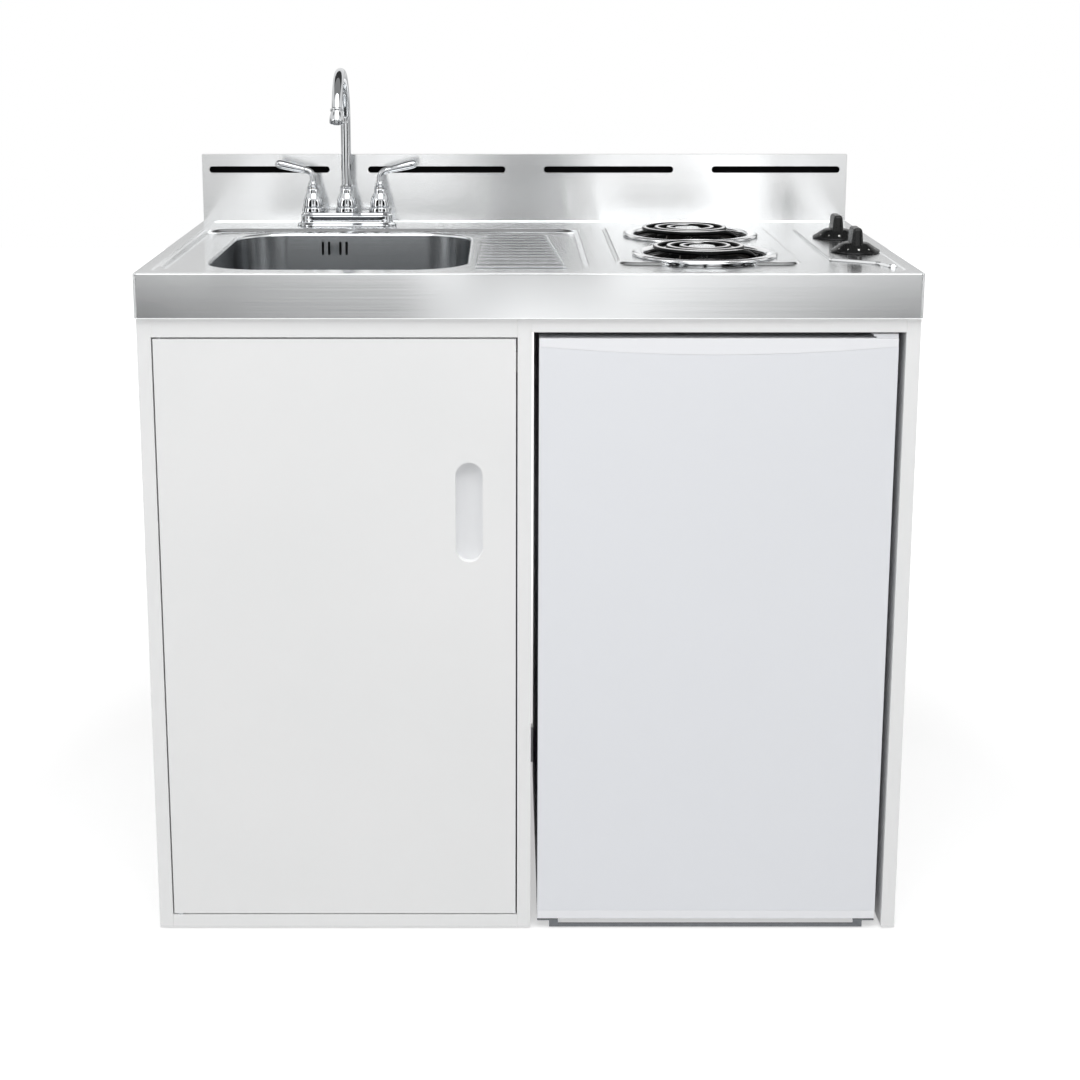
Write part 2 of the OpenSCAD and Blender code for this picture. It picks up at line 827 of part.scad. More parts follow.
module drain_basket() {
    cup_r = drain_cup_r - 4;
    cup_h = 24;
    rim_z = sheet_t;
    t = 1;
    color("#C9CBCD") translate([bowl_x, bowl_y, dish_z]) {
        difference() {
            rotate_extrude() polygon([
                [0, -cup_h], [cup_r - 6, -cup_h], [cup_r, rim_z], [cup_r + 5, rim_z],
                [cup_r + 5, rim_z + t], [cup_r - t, rim_z + t],
                [cup_r - 6 - t, -cup_h + t], [0, -cup_h + t]
            ]);
            for (a = [0 : 30 : 330])
                rotate(a) translate([cup_r - 16, 0, -cup_h - cut]) cylinder(h = 4, r = 3);
            for (a = [0 : 60 : 300])
                rotate(a) translate([cup_r - 26, 0, -cup_h - cut]) cylinder(h = 4, r = 3);
        }
        translate([0, 0, -cup_h + t]) cylinder(h = cup_h - 6, r = 4);
        translate([0, 0, -5]) cylinder(h = 5, r = 9);
    }
}

module drain_locknut() {
    nut_z = dish_z - sheet_t;
    color("#8E9092") translate([bowl_x, bowl_y, nut_z]) {
        translate([0, 0, -3]) difference() {
            cylinder(h = 3, r = drain_r);
            translate([0, 0, -cut]) cylinder(h = 5, r = drain_cup_r + running_fit);
        }
        translate([0, 0, -11]) difference() {
            cylinder(h = 8, r = drain_r + 2);
            translate([0, 0, -cut]) cylinder(h = 10, r = drain_cup_r + running_fit);
        }
    }
}

module drain_tailpiece() {
    top = dish_z - drain_cup_h - outlet_h;
    color("#C9CBCD") translate([bowl_x, bowl_y, top - tailpiece_l]) difference() {
        union() {
            cylinder(h = tailpiece_l, r = tailpiece_r);
            cylinder(h = tailpiece_l + spigot_l, r = spigot_r);
        }
        translate([0, 0, -cut])
            cylinder(h = tailpiece_l + spigot_l + 2 * cut, r = tailpiece_r - 2.5);
    }
}

// ---- Tap ----

module tap_base() {
    plate_h = 5;
    plate_l = 56;
    body_l = 44;
    plate_over = 49;
    body_over = 37;
    color("#D6D8DA") translate([tap_x, tap_y, tap_z]) difference() {
        union() {
            linear_extrude(plate_h) level_slot(tap_centres + plate_over, plate_l);
            translate([0, 0, plate_h])
                linear_extrude(base_h - plate_h) level_slot(tap_centres + body_over, body_l);
        }
        for (x = tap_axes) translate([x, 0, -cut]) {
            cylinder(h = base_h + 2 * cut, r = valve_r + running_fit);
            cylinder(h = 8 + cut, r = shank_neck_r + running_fit);
        }
    }
}

module tap_bonnets() {
    foot_r = 17;
    bell_r = 15.4;
    neck_r = 9.6;
    ring_h = 8.5;
    color("#D6D8DA") translate([tap_x, tap_y, tap_z + base_h])
        for (x = [tap_axes[0], 0, tap_axes[1]]) translate([x, 0, 0]) difference() {
            rotate_extrude() polygon([
                [0, 0], [foot_r, 0], [foot_r, ring_h - 2], [bell_r, ring_h],
                [bell_r, ring_h + 2], [bell_r - 1, ring_h + 8], [bell_r - 3, ring_h + 15],
                [neck_r, ring_h + 21], [neck_r, bonnet_h], [0, bonnet_h]
            ]);
            bore_r = x == 0 ? spout_r + running_fit : stem_r + running_fit;
            translate([0, 0, -cut]) cylinder(h = bonnet_h + 2 * cut, r = bore_r);
            if (x != 0)
                translate([0, 0, -cut]) cylinder(h = 20 + cut, r = valve_r + running_fit);
        }
}

module tap_spout() {
    collar = 4;
    bore = spout_r - spout_t;
    color("#D6D8DA") translate([tap_x, tap_y, tap_z]) difference() {
        union() {
            translate([0, 0, base_h]) cylinder(h = spout_rise - base_h, r = spout_r);
            translate([0, 0, bonnet_top + part_gap]) cylinder(h = collar, r = collar_r + 1);
            spout_arc(spout_r);
        }
        translate([0, 0, base_h - cut]) cylinder(h = spout_rise - base_h + cut, r = bore);
        spout_arc(bore);
    }
}

module spout_arc(r) {
    translate([0, -spout_bend, spout_rise]) rotate([90, 0, 90])
        rotate_extrude(angle = spout_turn) translate([spout_bend, 0]) circle(r);
}

module tap_aerator() {
    aerator_r = 10.5;
    color("#D6D8DA")
        translate([tap_x, tap_y + spout_end_y, tap_z + spout_end_z])
            rotate([spout_turn - 180, 0, 0]) translate([0, 0, -aerator_l]) difference() {
                cylinder(h = aerator_l, r = aerator_r);
                translate([0, 0, -cut]) cylinder(h = aerator_l + 2 * cut, r = spout_r - spout_t);
            }
}

// A lever that points along +X, on its own axis.
module lever() {
    neck_z = bonnet_top + part_gap + collar_h;
    elbow_z = 80;
    tip_z = 92;
    difference() {
        union() {
            translate([0, 0, bonnet_top + part_gap]) {
                cylinder(h = collar_h / 2, r = collar_r);
                translate([0, 0, collar_h / 2]) cylinder(h = collar_h / 2, r = collar_r - 1.5);
            }
            translate([0, 0, neck_z]) cylinder(h = elbow_z - neck_z, r1 = 6, r2 = 4.5);
            translate([0, 0, elbow_z]) sphere(5);
            translate([0, 0, elbow_z])
                rotate([0, atan2(lever_l - 5, tip_z - elbow_z), 0])
                    cylinder(h = norm([lever_l - 5, tip_z - elbow_z]), r1 = 4, r2 = 5.2);
            translate([lever_l - 5, 0, tip_z]) sphere(5.7);
        }
        cylinder(h = neck_z + 4, r = stem_r + running_fit);
    }
}

module hot_lever() {
    color("#D6D8DA") translate([tap_x + tap_axes[0], tap_y, tap_z]) rotate(180) lever();
}

module cold_lever() {
    color("#D6D8DA") translate([tap_x + tap_axes[1], tap_y, tap_z]) lever();
}

module tap_valves() {
    stem_top = bonnet_top + part_gap + collar_h + 3;
    seat_z = 8;
    body_h = base_h + 20 - seat_z;
    neck_l = seat_z + sheet_t + nut_h;
    color("#B9A26A") translate([tap_x, tap_y, tap_z + seat_z])
        for (x = tap_axes) translate([x, 0, 0]) {
            cylinder(h = body_h, r = valve_r);
            translate([0, 0, body_h]) cylinder(h = stem_top - seat_z - body_h, r = stem_r);
            translate([0, 0, -neck_l - shank_free]) difference() {
                union() {
                    cylinder(h = shank_free, r = shank_r);
                    cylinder(h = shank_free + neck_l, r = shank_neck_r);
                }
                translate([0, 0, -cut]) cylinder(h = shank_free + neck_l - 5, r = 6);
            }
        }
}

module tap_locknuts() {
    washer_t = 2;
    color("#6E7073") translate([tap_x, tap_y, field_z - sheet_t - nut_h])
        for (x = tap_axes) translate([x, 0, 0]) difference() {
            union() {
                translate([0, 0, nut_h - washer_t]) cylinder(h = washer_t, r = 19);
                cylinder(h = nut_h - washer_t, r = 16, $fn = 6);
            }
            translate([0, 0, -cut])
                cylinder(h = nut_h + 2 * cut, r = shank_neck_r + running_fit);
        }
}

// ---- Hob ----

module burner_rings() {
    in_r = ring_inner;
    color("#DADCDE")
        for (y = burner_ys) translate([burner_x, y, hob_z]) rotate_extrude() polygon([
            [ring_r, 0], [ring_r - 2, ring_h - 1], [ring_r - 6, ring_h],
            [in_r + 3.5, ring_h - 0.6], [in_r, ring_h - 2.4], [in_r, drip_t + part_gap],
            [in_r + 1, drip_t + part_gap], [in_r + 1, ring_h - 3], [in_r + 4, ring_h - 1.6],
            [ring_r - 6, ring_h - 1], [ring_r - 2.8, ring_h - 1.8], [ring_r - 1.2, 0]
        ]);
}

module drip_bowls() {
    t = drip_t;
    r = drip_wall_r;
    color("#151617")
        for (y = burner_ys) translate([burner_x, y, hob_z]) difference() {
            rotate_extrude() polygon([
                [drip_rim_r, 0], [drip_rim_r, t], [r, t], [r, -ledge_drop],
                [ledge_r, -ledge_drop], [ledge_r - 6, -16], [50, -drip_deep + 6],
                [32, -drip_deep + t], [12, -drip_deep + t], [12, -drip_deep],
                [32.4, -drip_deep], [50.6, -drip_deep + 5.2], [ledge_r - 5, -16.8],
                [ledge_r + 0.6, -ledge_drop - t], [r + t, -ledge_drop - t], [r + t, 0]
            ]);
            block(45, r + 3, -slot_half, slot_half, -24, -2);
        }
}

// The heating tube's middle line about the burner's centre: the inner leg from the
// socket, the spiral, and the outer leg back to the socket.
leg_in = [
    [socket_x - 3, leg_y, -leg_drop], [84, leg_y, -leg_drop], [73, leg_y + 0.5, -22],
    [63, leg_y + 2, -16.5], [53, leg_y + 5, -12.5], [42, leg_y + 8, -11.5],
    [31, leg_y + 11, -11.5], [20, 23, -10], [11, 23, -6], [3, 22.7, -2]
];
leg_out = [
    [45, -49, -1], [54, -40, -4], [61, -31, -9], [65.5, -22.5, -14.5],
    [69, -15.5, -19], [74.5, -11, -22.5], [83, -leg_y, -leg_drop],
    [socket_x - 3, -leg_y, -leg_drop]
];
ring_step = 15;
spiral = [
    for (a = [0 : ring_step : 360 * turns])
        let (r = turn_start + turn_pitch * a / 360)
            [coil_shift + r * cos(90 + a), r * sin(90 + a), 0]
];
coil_line = concat(leg_in, spiral, leg_out);

// Sweeps a tube of six sides along a line of points.
module swept_tube(line, r, sides) {
    last = len(line) - 1;
    ring_of = function(i)
        let (
            a = line[max(i - 1, 0)],
            b = line[min(i + 1, last)],
            t = (b - a) / norm(b - a),
            s = cross(t, [0, 0, 1]),
            u = s / norm(s),
            v = cross(u, t)
        )
        [for (k = [0 : sides - 1])
            line[i] + r * (cos(360 * k / sides) * u + sin(360 * k / sides) * v)];
    points = [for (i = [0 : last]) each ring_of(i)];
    walls = [
        for (i = [0 : last - 1], k = [0 : sides - 1])
            let (p = i * sides + k, q = i * sides + (k + 1) % sides)
                each [[p, q, q + sides], [p, q + sides, p + sides]]
    ];
    caps = [
        for (k = [1 : sides - 2])
            each [[0, k + 1, k], [last * sides, last * sides + k, last * sides + k + 1]]
    ];
    polyhedron(points, concat(walls, caps));
}

// The least gap of the tube to itself, between points at least skip steps apart.
function least_gap(line, r, skip) = min([
    for (i = [0 : len(line) - 1], j = [i + skip : len(line) - 1])
        if (j < len(line)) norm(line[i] - line[j]) - 2 * r
]);
echo(least_coil_gap = least_gap(coil_line, tube_r, 5));

module coil(y) {
    color("#4A4C4E") translate([burner_x, y, coil_z]) swept_tube(coil_line, tube_r, 6);
}

module coil_front() { coil(burner_ys[0]); }

module coil_rear() { coil(burner_ys[1]); }

module coil_support(y) {
    arm_t = 1.5;
    arm_z0 = hob_z - ledge_drop;
    arm_z1 = coil_z - tube_r;
    cap_z = coil_z + 1.5;
    color("#C4C6C8") translate([burner_x + coil_shift, y, 0]) {
        for (a = [120, 240])
            rotate(a) block(4, (a == 240 ? 73.5 : 74), -arm_t / 2, arm_t / 2, arm_z0, arm_z1);
        block(4, 64, -arm_t / 2, arm_t / 2, arm_z0, arm_z1);
        translate([0, 0, arm_z0]) cylinder(h = cap_z - arm_z0 - 3, r = 8);
        translate([0, 0, cap_z - 3]) cylinder(h = 3, r = medallion_r);
    }
}

module coil_support_front() { coil_support(burner_ys[0]); }

module coil_support_rear() { coil_support(burner_ys[1]); }

module socket(y) {
    z = coil_z - leg_drop;
    deep = 9;
    color("#E4E0D4") translate([burner_x + socket_x, y, z]) {
        difference() {
            translate([-socket_l / 2, -socket_w / 2, -socket_h / 2])
                cube([socket_l, socket_w, socket_h]);
            for (s = [-1, 1]) translate([-socket_l / 2 - cut, s * leg_y, 0])
                rotate([0, 90, 0]) cylinder(h = deep + cut, r = tube_r + running_fit);
        }
        rotate([90, 0, 0]) translate([0, 0, -socket_w / 2 - 4])
            cylinder(h = socket_w + 8, r = socket_pin_r);
    }
}

module socket_front() { socket(burner_ys[0]); }

module socket_rear() { socket(burner_ys[1]); }

module burner_box() {
    t = sheet_t;
    cheek_in = socket_w / 2 + part_gap + 0.1;
    pin_z = coil_z - leg_drop;
    color("#8A8C8E") {
        difference() {
            block(box_x0, box_x1, box_y0, box_y1, box_z0, box_top);
            block(box_x0 + t, box_x1 - t, box_y0 + t, box_y1 - t, box_z0 + t, box_top + cut);
            translate([gland_x, box_y1 + cut, gland_z])
                rotate([90, 0, 0]) cylinder(h = t + 2 * cut, r = gland_r + running_fit);
        }
        for (y = burner_ys, s = [-1, 1]) difference() {
            translate([burner_x + socket_x - 7,
                y + s * (cheek_in + cheek_t / 2) - cheek_t / 2, box_z0 + t])
                cube([14, cheek_t, pin_z + 6 - box_z0 - t]);
            translate([burner_x + socket_x, y + socket_w, pin_z])
                rotate([90, 0, 0]) cylinder(h = 2 * socket_w, r = socket_pin_r + running_fit);
        }
    }
}

module heat_switches() {
    color("#2A2C2E")
        for (y = knob_ys) translate([knob_x, y, switch_top - switch_h]) difference() {
            translate([-20, -17, 0]) cube([40, 34, switch_h]);
            translate([0, 0, switch_h - shaft_grip]) cylinder(h = shaft_grip + cut,
                r = shaft_r + running_fit);
        }
}

module knob(y) {
    dome_h = 13;
    dome_r = 20;
    grip_l = 42;
    color("#1A1C1C") translate([knob_x, y, hob_z + knob_gap]) {
        difference() {
            union() {
                rotate_extrude() polygon([
                    [0, 0], [knob_r, 0], [knob_r, 2], [knob_r - 2, 3.3],
                    [dome_r + 4, 7], [dome_r, dome_h - 3], [dome_r - 4, dome_h], [0, dome_h]
                ]);
                translate([-grip_t / 2, -grip_l / 2, 2])
                    cube([grip_t, grip_l, knob_h - 2]);
            }
            translate([0, 0, -cut]) cylinder(h = 16 + cut, r = shaft_r + running_fit);
        }
        translate([0, 0, -knob_gap - sheet_t - shaft_grip + 1])
            cylinder(h = 15 + knob_gap + sheet_t + shaft_grip, r = shaft_r);
    }
}

module knob_front() { knob(knob_ys[0]); }

module knob_rear() { knob(knob_ys[1]); }

module cable_gland() {
    color("#1F2122") translate([gland_x, box_y1, gland_z]) rotate([-90, 0, 0]) difference() {
        union() {
            translate([0, 0, -sheet_t - 6]) cylinder(h = 6 + sheet_t, r = gland_r);
            cylinder(h = 14, r = gland_r + 3);
        }
        translate([0, 0, -sheet_t - 6 - cut]) cylinder(h = 30, r = gland_bore);
    }
}

// ---- Refrigerator ----

// The insulated space, drawn in by e from the refrigerator's outer surface.
module insulated_form(e) {
    difference() {
        block(fridge_x0 + e, fridge_x1 - e, fridge_y0 - cut, fridge_y1 - e,
            fridge_lift + e, fridge_h - e);
        block(fridge_x0 - cut, fridge_x1 + cut, niche_y - cut + 1, fridge_y1 + cut,
            fridge_lift - cut, niche_h);
    }
}

// The storage space, grown by e from the liner's inner surface.
module storage_form(e) {
    difference() {
        block(inner_x0 - e, inner_x1 + e, fridge_y0 - cut, inner_y1 + e,
            inner_z0 - e, inner_z1 + e);
        block(fridge_x0, fridge_x1, step_y + e, fridge_y1, fridge_lift, step_z - e);
    }
}

module fridge_shell() {
    t = skin_t;
    color("#E6E8EB") difference() {
        block(fridge_x0, fridge_x1, fridge_y0, fridge_y1, fridge_lift, fridge_h);
        insulated_form(t);
        block(fridge_x0 + t, fridge_x1 - t, niche_y + t, fridge_y1 + cut,
            fridge_lift - cut, niche_h - t);
    }
}

module fridge_foam() {
    color("#E9DFA8") difference() {
        intersection() {
            insulated_form(skin_t);
            block(fridge_x0, fridge_x1, fridge_y0 + liner_t, fridge_y1, fridge_lift, fridge_h);
        }
        storage_form(liner_t);
    }
}

module fridge_liner() {
    color("#F2F3F4") {
        difference() {
            union() {
                intersection() {
                    storage_form(liner_t);
                    block(fridge_x0, fridge_x1, fridge_y0, fridge_y1, fridge_lift, fridge_h);
                }
                block(fridge_x0 + skin_t, fridge_x1 - skin_t, fridge_y0, fridge_y0 + liner_t,
                    fridge_lift + skin_t, fridge_h - skin_t);
            }
            storage_form(0);
        }
        for (z = [lower_shelf_z, upper_shelf_z])
            for (x = [inner_x0, inner_x1 - ledge_w])
                block(x, x + ledge_w, shelf_y0, shelf_y1, z - shelf_t - ledge_t, z - shelf_t);
    }
}

// The cylinder whose lower face gives the grip strip its bowed edge.
module bow(y0, y1, e = 0) {
    translate([fridge_x, y1, fdoor_z1 - grip_mid_h + bow_r]) rotate([90, 0, 0])
        cylinder(h = y1 - y0, r = bow_r + e, $fn = 360);
}

module fridge_hinge_holes() {
    for (z = [fdoor_z0 - cut, fdoor_z1 - fhinge_reach])
        translate([fhinge_x, fhinge_y, z])
            cylinder(h = fhinge_reach + cut, r = fhinge_r + running_fit);
}

// The foam's space in the refrigerator's door, between the posts of the hinge pins.
module door_core() {
    t = skin_t;
    difference() {
        block(fridge_x0 + t, fridge_x1 - t, fdoor_y0 + t, fdoor_y1 - t,
            fdoor_z0 + foot_strip_h + t, fdoor_z1);
        bow(fdoor_y0 - cut, fdoor_y1 + cut, t);
        for (z = [fdoor_z0, fdoor_z1 - fhinge_reach - foot_strip_h])
            block(fhinge_x - hinge_post, fridge_x1, fdoor_y0, fhinge_y + hinge_post,
                z, z + fhinge_reach + foot_strip_h);
    }
    block(dyke_x0 + dyke_t, dyke_x1 - dyke_t, fdoor_y1 - t, fdoor_y1,
        dyke_z0 + dyke_t, dyke_z1 - dyke_t);
}

module fridge_door_panel() {
    color("#EDEFF2") difference() {
        block(fridge_x0, fridge_x1, fdoor_y0, fdoor_y1, fdoor_z0 + foot_strip_h, fdoor_z1);
        bow(fdoor_y0 - cut, fdoor_y1 + cut);
        door_core();
        fridge_hinge_holes();
    }
}

module fridge_door_foam() {
    color("#E9DFA8") door_core();
}

module fridge_door_trims() {
    color("#F4F5F7") difference() {
        union() {
            intersection() {
                block(fridge_x0, fridge_x1, fdoor_y0, fdoor_y1, fdoor_z1 - grip_mid_h,
                    fdoor_z1);
                bow(fdoor_y0 - cut, fdoor_y1 + cut);
            }
            block(fridge_x0, fridge_x1, fdoor_y0, fdoor_y1, fdoor_z0, fdoor_z0 + foot_strip_h);
        }
        fridge_hinge_holes();
    }
}

module fridge_door_liner() {
    t = dyke_t;
    color("#F2F3F4") {
        block(dyke_x0, dyke_x1, fdoor_y1, fdoor_y1 + t, dyke_z0, dyke_z1);
        difference() {
            block(dyke_x0, dyke_x1, fdoor_y1 + t, dyke_rear, dyke_z0, dyke_z1);
            block(dyke_x0 + t, dyke_x1 - t, fdoor_y1, dyke_rear + cut,
                dyke_z0 + t, dyke_z1 - t);
        }
    }
}

module fridge_door_gasket() {
    inset = fridge_hinge_inset + 2;
    seal_w = 14;
    color("#D9DBDD") difference() {
        block(fridge_x0 + inset, fridge_x1 - inset, fdoor_y1, fdoor_y1 + seal_t,
            fdoor_z0 + 22, fdoor_z1 - inset);
        block(fridge_x0 + inset + seal_w, fridge_x1 - inset - seal_w,
            fdoor_y1 - cut, fdoor_y1 + seal_t + cut,
            fdoor_z0 + 22 + seal_w, fdoor_z1 - inset - seal_w);
    }
}

module fridge_door_bins() {
    t = 2.5;
    front = fdoor_y1 + dyke_t;
    hook_inset = 24;
    hook_y = dyke_rear - hook_inset;
    hook_l = 16;
    color("#E3E8EC") for (z = bin_zs) {
        difference() {
            block(bin_x0, bin_x1, front, bin_rear, z, z + bin_h);
            block(bin_x0 + t, bin_x1 - t, front + t, bin_rear - t, z + t, z + bin_h + cut);
        }
        block(dyke_x0 + dyke_t, bin_x0, hook_y, hook_y + hook_l, z + 10, z + 40);
        block(bin_x1, dyke_x1 - dyke_t, hook_y, hook_y + hook_l, z + 10, z + 40);
    }
}

module fridge_hinges() {
    t = hinge_plate_t;
    plate_x0 = fhinge_x - 16;
    plate_y0 = fhinge_y - 9;
    pin_h = fhinge_reach - 2;
    low_top = fdoor_z0 - 2;
    color("#A4A6A8") {
        block(plate_x0, fridge_x1, plate_y0, fridge_y0 + 30, fridge_h, fridge_h + t);
        translate([fhinge_x, fhinge_y, fdoor_z1 - pin_h])
            cylinder(h = fridge_h - fdoor_z1 + pin_h, r = fhinge_r);
        block(plate_x0, fridge_x1, plate_y0, fridge_y0 + 34, low_top - t, low_top);
        block(plate_x0, fridge_x1, fridge_y0 + 4, fridge_y0 + 34, low_top, fridge_lift);
        translate([fhinge_x, fhinge_y, low_top]) cylinder(h = pin_h + 2, r = fhinge_r);
        translate([fhinge_x, fhinge_y, low_top]) difference() {
            cylinder(h = fdoor_z0 - low_top, r = fhinge_r + 3);
            translate([0, 0, -cut]) cylinder(h = 4, r = fhinge_r + running_fit);
        }
        block(plate_x0, plate_x0 + 12, plate_y0, plate_y0 + t, 2, low_top - t);
        block(fridge_x0, fridge_x0 + 28, plate_y0, fridge_y0 + 34, low_top - t, low_top);
        block(fridge_x0, fridge_x0 + 28, fridge_y0 + 4, fridge_y0 + 34, low_top, fridge_lift);
        block(fridge_x0 + 16, fridge_x0 + 28, plate_y0, plate_y0 + t, 2, low_top - t);
        block(fridge_x0 + 28, plate_x0, plate_y0, plate_y0 + t, 2, 7);
    }
    color("#F4F5F7")
        block(plate_x0 - 3, fridge_x1, plate_y0 + 1, fridge_y0 + 34, fridge_h + t, fridge_h + t + 3);
}

module fridge_feet() {
    foot_r = 13;
    inset = 24;
    color("#2A2C2E") {
        for (x = [fridge_x0 + 44, fridge_x1 - 44])
            translate([x, fridge_y0 + inset, 0]) cylinder(h = fridge_lift, r = foot_r);
        for (x = [fridge_x0 + 44, fridge_x1 - 44])
            translate([x, fridge_y1 - inset, 0]) cylinder(h = fridge_lift, r = foot_r);
    }
}

module fridge_shelves() {
    edge = 12;
    bars = 13;
    x0 = inner_x0 + 1;
    x1 = inner_x1 - 1;
    step = (x1 - x0 - 2 * edge) / bars;
    color("#F2F3F4") for (z = [lower_shelf_z, upper_shelf_z]) difference() {
        block(x0, x1, shelf_y0, shelf_y1, z - shelf_t, z);
        for (i = [0 : bars - 1])
            block(x0 + edge + i * step + 4, x0 + edge + (i + 1) * step - 4,
                shelf_y0 + edge, shelf_y1 - edge, z - shelf_t - cut, z + cut);
    }
}

module freezer_box() {
    t = freezer_t;
    ear_y0 = flap_axis_y - 6;
    color("#C9CDD0") difference() {
        union() {
            difference() {
                block(freezer_x0, freezer_x1, freezer_y0, freezer_y1, freezer_z0, freezer_z1);
                block(freezer_x0 + t, freezer_x1 - t, freezer_y0 - cut, freezer_y1 - t,
                    freezer_z0 + t, freezer_z1 - t);
            }
            for (x = [freezer_x0, freezer_x1 - t])
                block(x, x + t, ear_y0, freezer_y0, freezer_z0, flap_axis_z + 8);
            for (x = [freezer_x0 + 20, freezer_x1 - 40])
                block(x, x + 20, freezer_y0 + 30, freezer_y1 - 30, freezer_z1, inner_z1);
        }
        translate([freezer_x0 - cut, flap_axis_y, flap_axis_z]) rotate([0, 90, 0])
            cylinder(h = freezer_x1 - freezer_x0 + 2 * cut, r = flap_pin_r + running_fit);
    }
}

module freezer_flap() {
    x0 = freezer_x0 + freezer_t + 0.5;
    x1 = freezer_x1 - freezer_t - 0.5;
    color("#E3E8EC") {
        block(x0, x1, flap_y0, flap_y1, flap_axis_z, flap_z1);
        translate([x0, flap_axis_y, flap_axis_z]) rotate([0, 90, 0])
            cylinder(h = x1 - x0, r = flap_t / 2);
        translate([freezer_x0, flap_axis_y, flap_axis_z]) rotate([0, 90, 0])
            cylinder(h = freezer_x1 - freezer_x0, r = flap_pin_r);
    }
}

module thermostat_housing() {
    size_y = 110;
    size_z = 64;
    color("#E8EAEC") difference() {
        block(thermo_x, inner_x1, thermo_y - size_y / 2, thermo_y + size_y / 2,
            thermo_z - size_z / 2, thermo_z + size_z / 2);
        translate([thermo_x - cut, thermo_y, thermo_z]) rotate([0, 90, 0])
            cylinder(h = 14 + cut, r = shaft_r + running_fit);
    }
}

module thermostat_knob() {
    knob_t = 12;
    dial_r = 17;
    grip_l = 32;
    color("#F4F5F7") translate([thermo_x - part_gap, thermo_y, thermo_z]) {
        translate([-knob_t, 0, 0]) rotate([0, 90, 0]) cylinder(h = knob_t, r = dial_r);
        translate([-knob_t - 5, -2, -grip_l / 2]) cube([5, 4, grip_l]);
        rotate([0, 90, 0]) cylinder(h = 12, r = shaft_r);
    }
}

module cooling_unit() {
    plate_z = fridge_lift;
    can_r = 54;
    can_inset = 68;
    can_y = fridge_y1 - can_inset;
    tube = 2.5;
    grid_y = fridge_y1 + 6;
    rows = 11;
    row_z0 = niche_h + 20;
    row_step = 52;
    grid_x0 = fridge_x0 + 30;
    grid_x1 = fridge_x1 - 30;
    color("#1F2122") {
        block(fridge_x0 + skin_t, fridge_x1 - skin_t, niche_y + skin_t, fridge_y1,
            plate_z, plate_z + 2);
        translate([fridge_x, can_y, plate_z + 2]) {
            cylinder(h = 12, r = 30);
            translate([0, 0, 12]) cylinder(h = 80, r = can_r);
            translate([0, 0, 92]) cylinder(h = 30, r1 = can_r, r2 = 26);
        }
        for (x = [grid_x0, grid_x1]) {
            translate([x, grid_y, row_z0]) cylinder(h = (rows - 1) * row_step, r = tube);
            for (i = [1, rows - 2])
                translate([x - 5, fridge_y1, row_z0 + i * row_step - 5])
                    cube([10, grid_y - fridge_y1, 10]);
        }
        for (i = [0 : rows - 1])
            translate([grid_x0, grid_y, row_z0 + i * row_step]) rotate([0, 90, 0])
                cylinder(h = grid_x1 - grid_x0, r = tube);
    }
}

side_panels();
centre_panel();
cabinet_floor();
back_panel();
front_rails();
rear_rails();
cabinet_glides();
cabinet_door();
door_pull_cup();
door_pivot_pins();
door_catch();
door_strike_plate();
countertop();
backsplash();
backsplash_returns();
sink_bowl();
overflow_fitting();
overflow_pipe();
drain_body();
drain_basket();
drain_locknut();
drain_tailpiece();
tap_base();
tap_bonnets();
tap_spout();
tap_aerator();
hot_lever();
cold_lever();
tap_valves();
tap_locknuts();
burner_rings();
drip_bowls();
coil_front();
coil_rear();
coil_support_front();
coil_support_rear();
socket_front();
socket_rear();
burner_box();
heat_switches();
knob_front();
knob_rear();
cable_gland();
fridge_shell();
fridge_foam();
fridge_liner();
fridge_door_panel();
fridge_door_foam();
fridge_door_trims();
fridge_door_liner();
fridge_door_gasket();
fridge_door_bins();
fridge_hinges();
fridge_feet();
fridge_shelves();
freezer_box();
freezer_flap();
thermostat_housing();
thermostat_knob();
cooling_unit();
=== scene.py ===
import bmesh
import bpy
from math import cos, pi, radians, sin
from mathutils import Matrix, Vector


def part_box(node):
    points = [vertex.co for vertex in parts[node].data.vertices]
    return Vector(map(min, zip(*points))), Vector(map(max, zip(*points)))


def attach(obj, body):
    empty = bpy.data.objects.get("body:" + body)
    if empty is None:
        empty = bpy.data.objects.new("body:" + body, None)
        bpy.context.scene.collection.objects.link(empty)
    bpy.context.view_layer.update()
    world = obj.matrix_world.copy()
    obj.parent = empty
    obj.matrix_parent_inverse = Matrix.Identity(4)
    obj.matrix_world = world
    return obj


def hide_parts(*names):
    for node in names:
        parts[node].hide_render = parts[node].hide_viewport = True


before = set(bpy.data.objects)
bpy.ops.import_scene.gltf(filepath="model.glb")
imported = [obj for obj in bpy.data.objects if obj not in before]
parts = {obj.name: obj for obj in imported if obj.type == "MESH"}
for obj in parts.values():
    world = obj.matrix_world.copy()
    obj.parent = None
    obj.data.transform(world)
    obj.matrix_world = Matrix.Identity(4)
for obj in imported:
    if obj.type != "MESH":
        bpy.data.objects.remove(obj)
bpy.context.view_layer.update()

# ---- Camera ----
# A view of the front from 2.4 m away, a little left of the middle and well above the counter.
# The shifts keep the photograph's framing.
view = bpy.data.cameras.new("camera")
view.lens, view.sensor_width = 65.13, 36
view.shift_x, view.shift_y = 0.0315, -0.11
view.clip_start, view.clip_end = 0.05, 60
camera = bpy.data.objects.new("camera", view)
camera.location = (-0.0285, -2.7246, 1.2246)
camera.rotation_euler = (radians(90 - 12.22), 0, 0)
bpy.context.scene.collection.objects.link(camera)
bpy.context.scene.camera = camera
bpy.context.scene.view_settings.view_transform = "Standard"


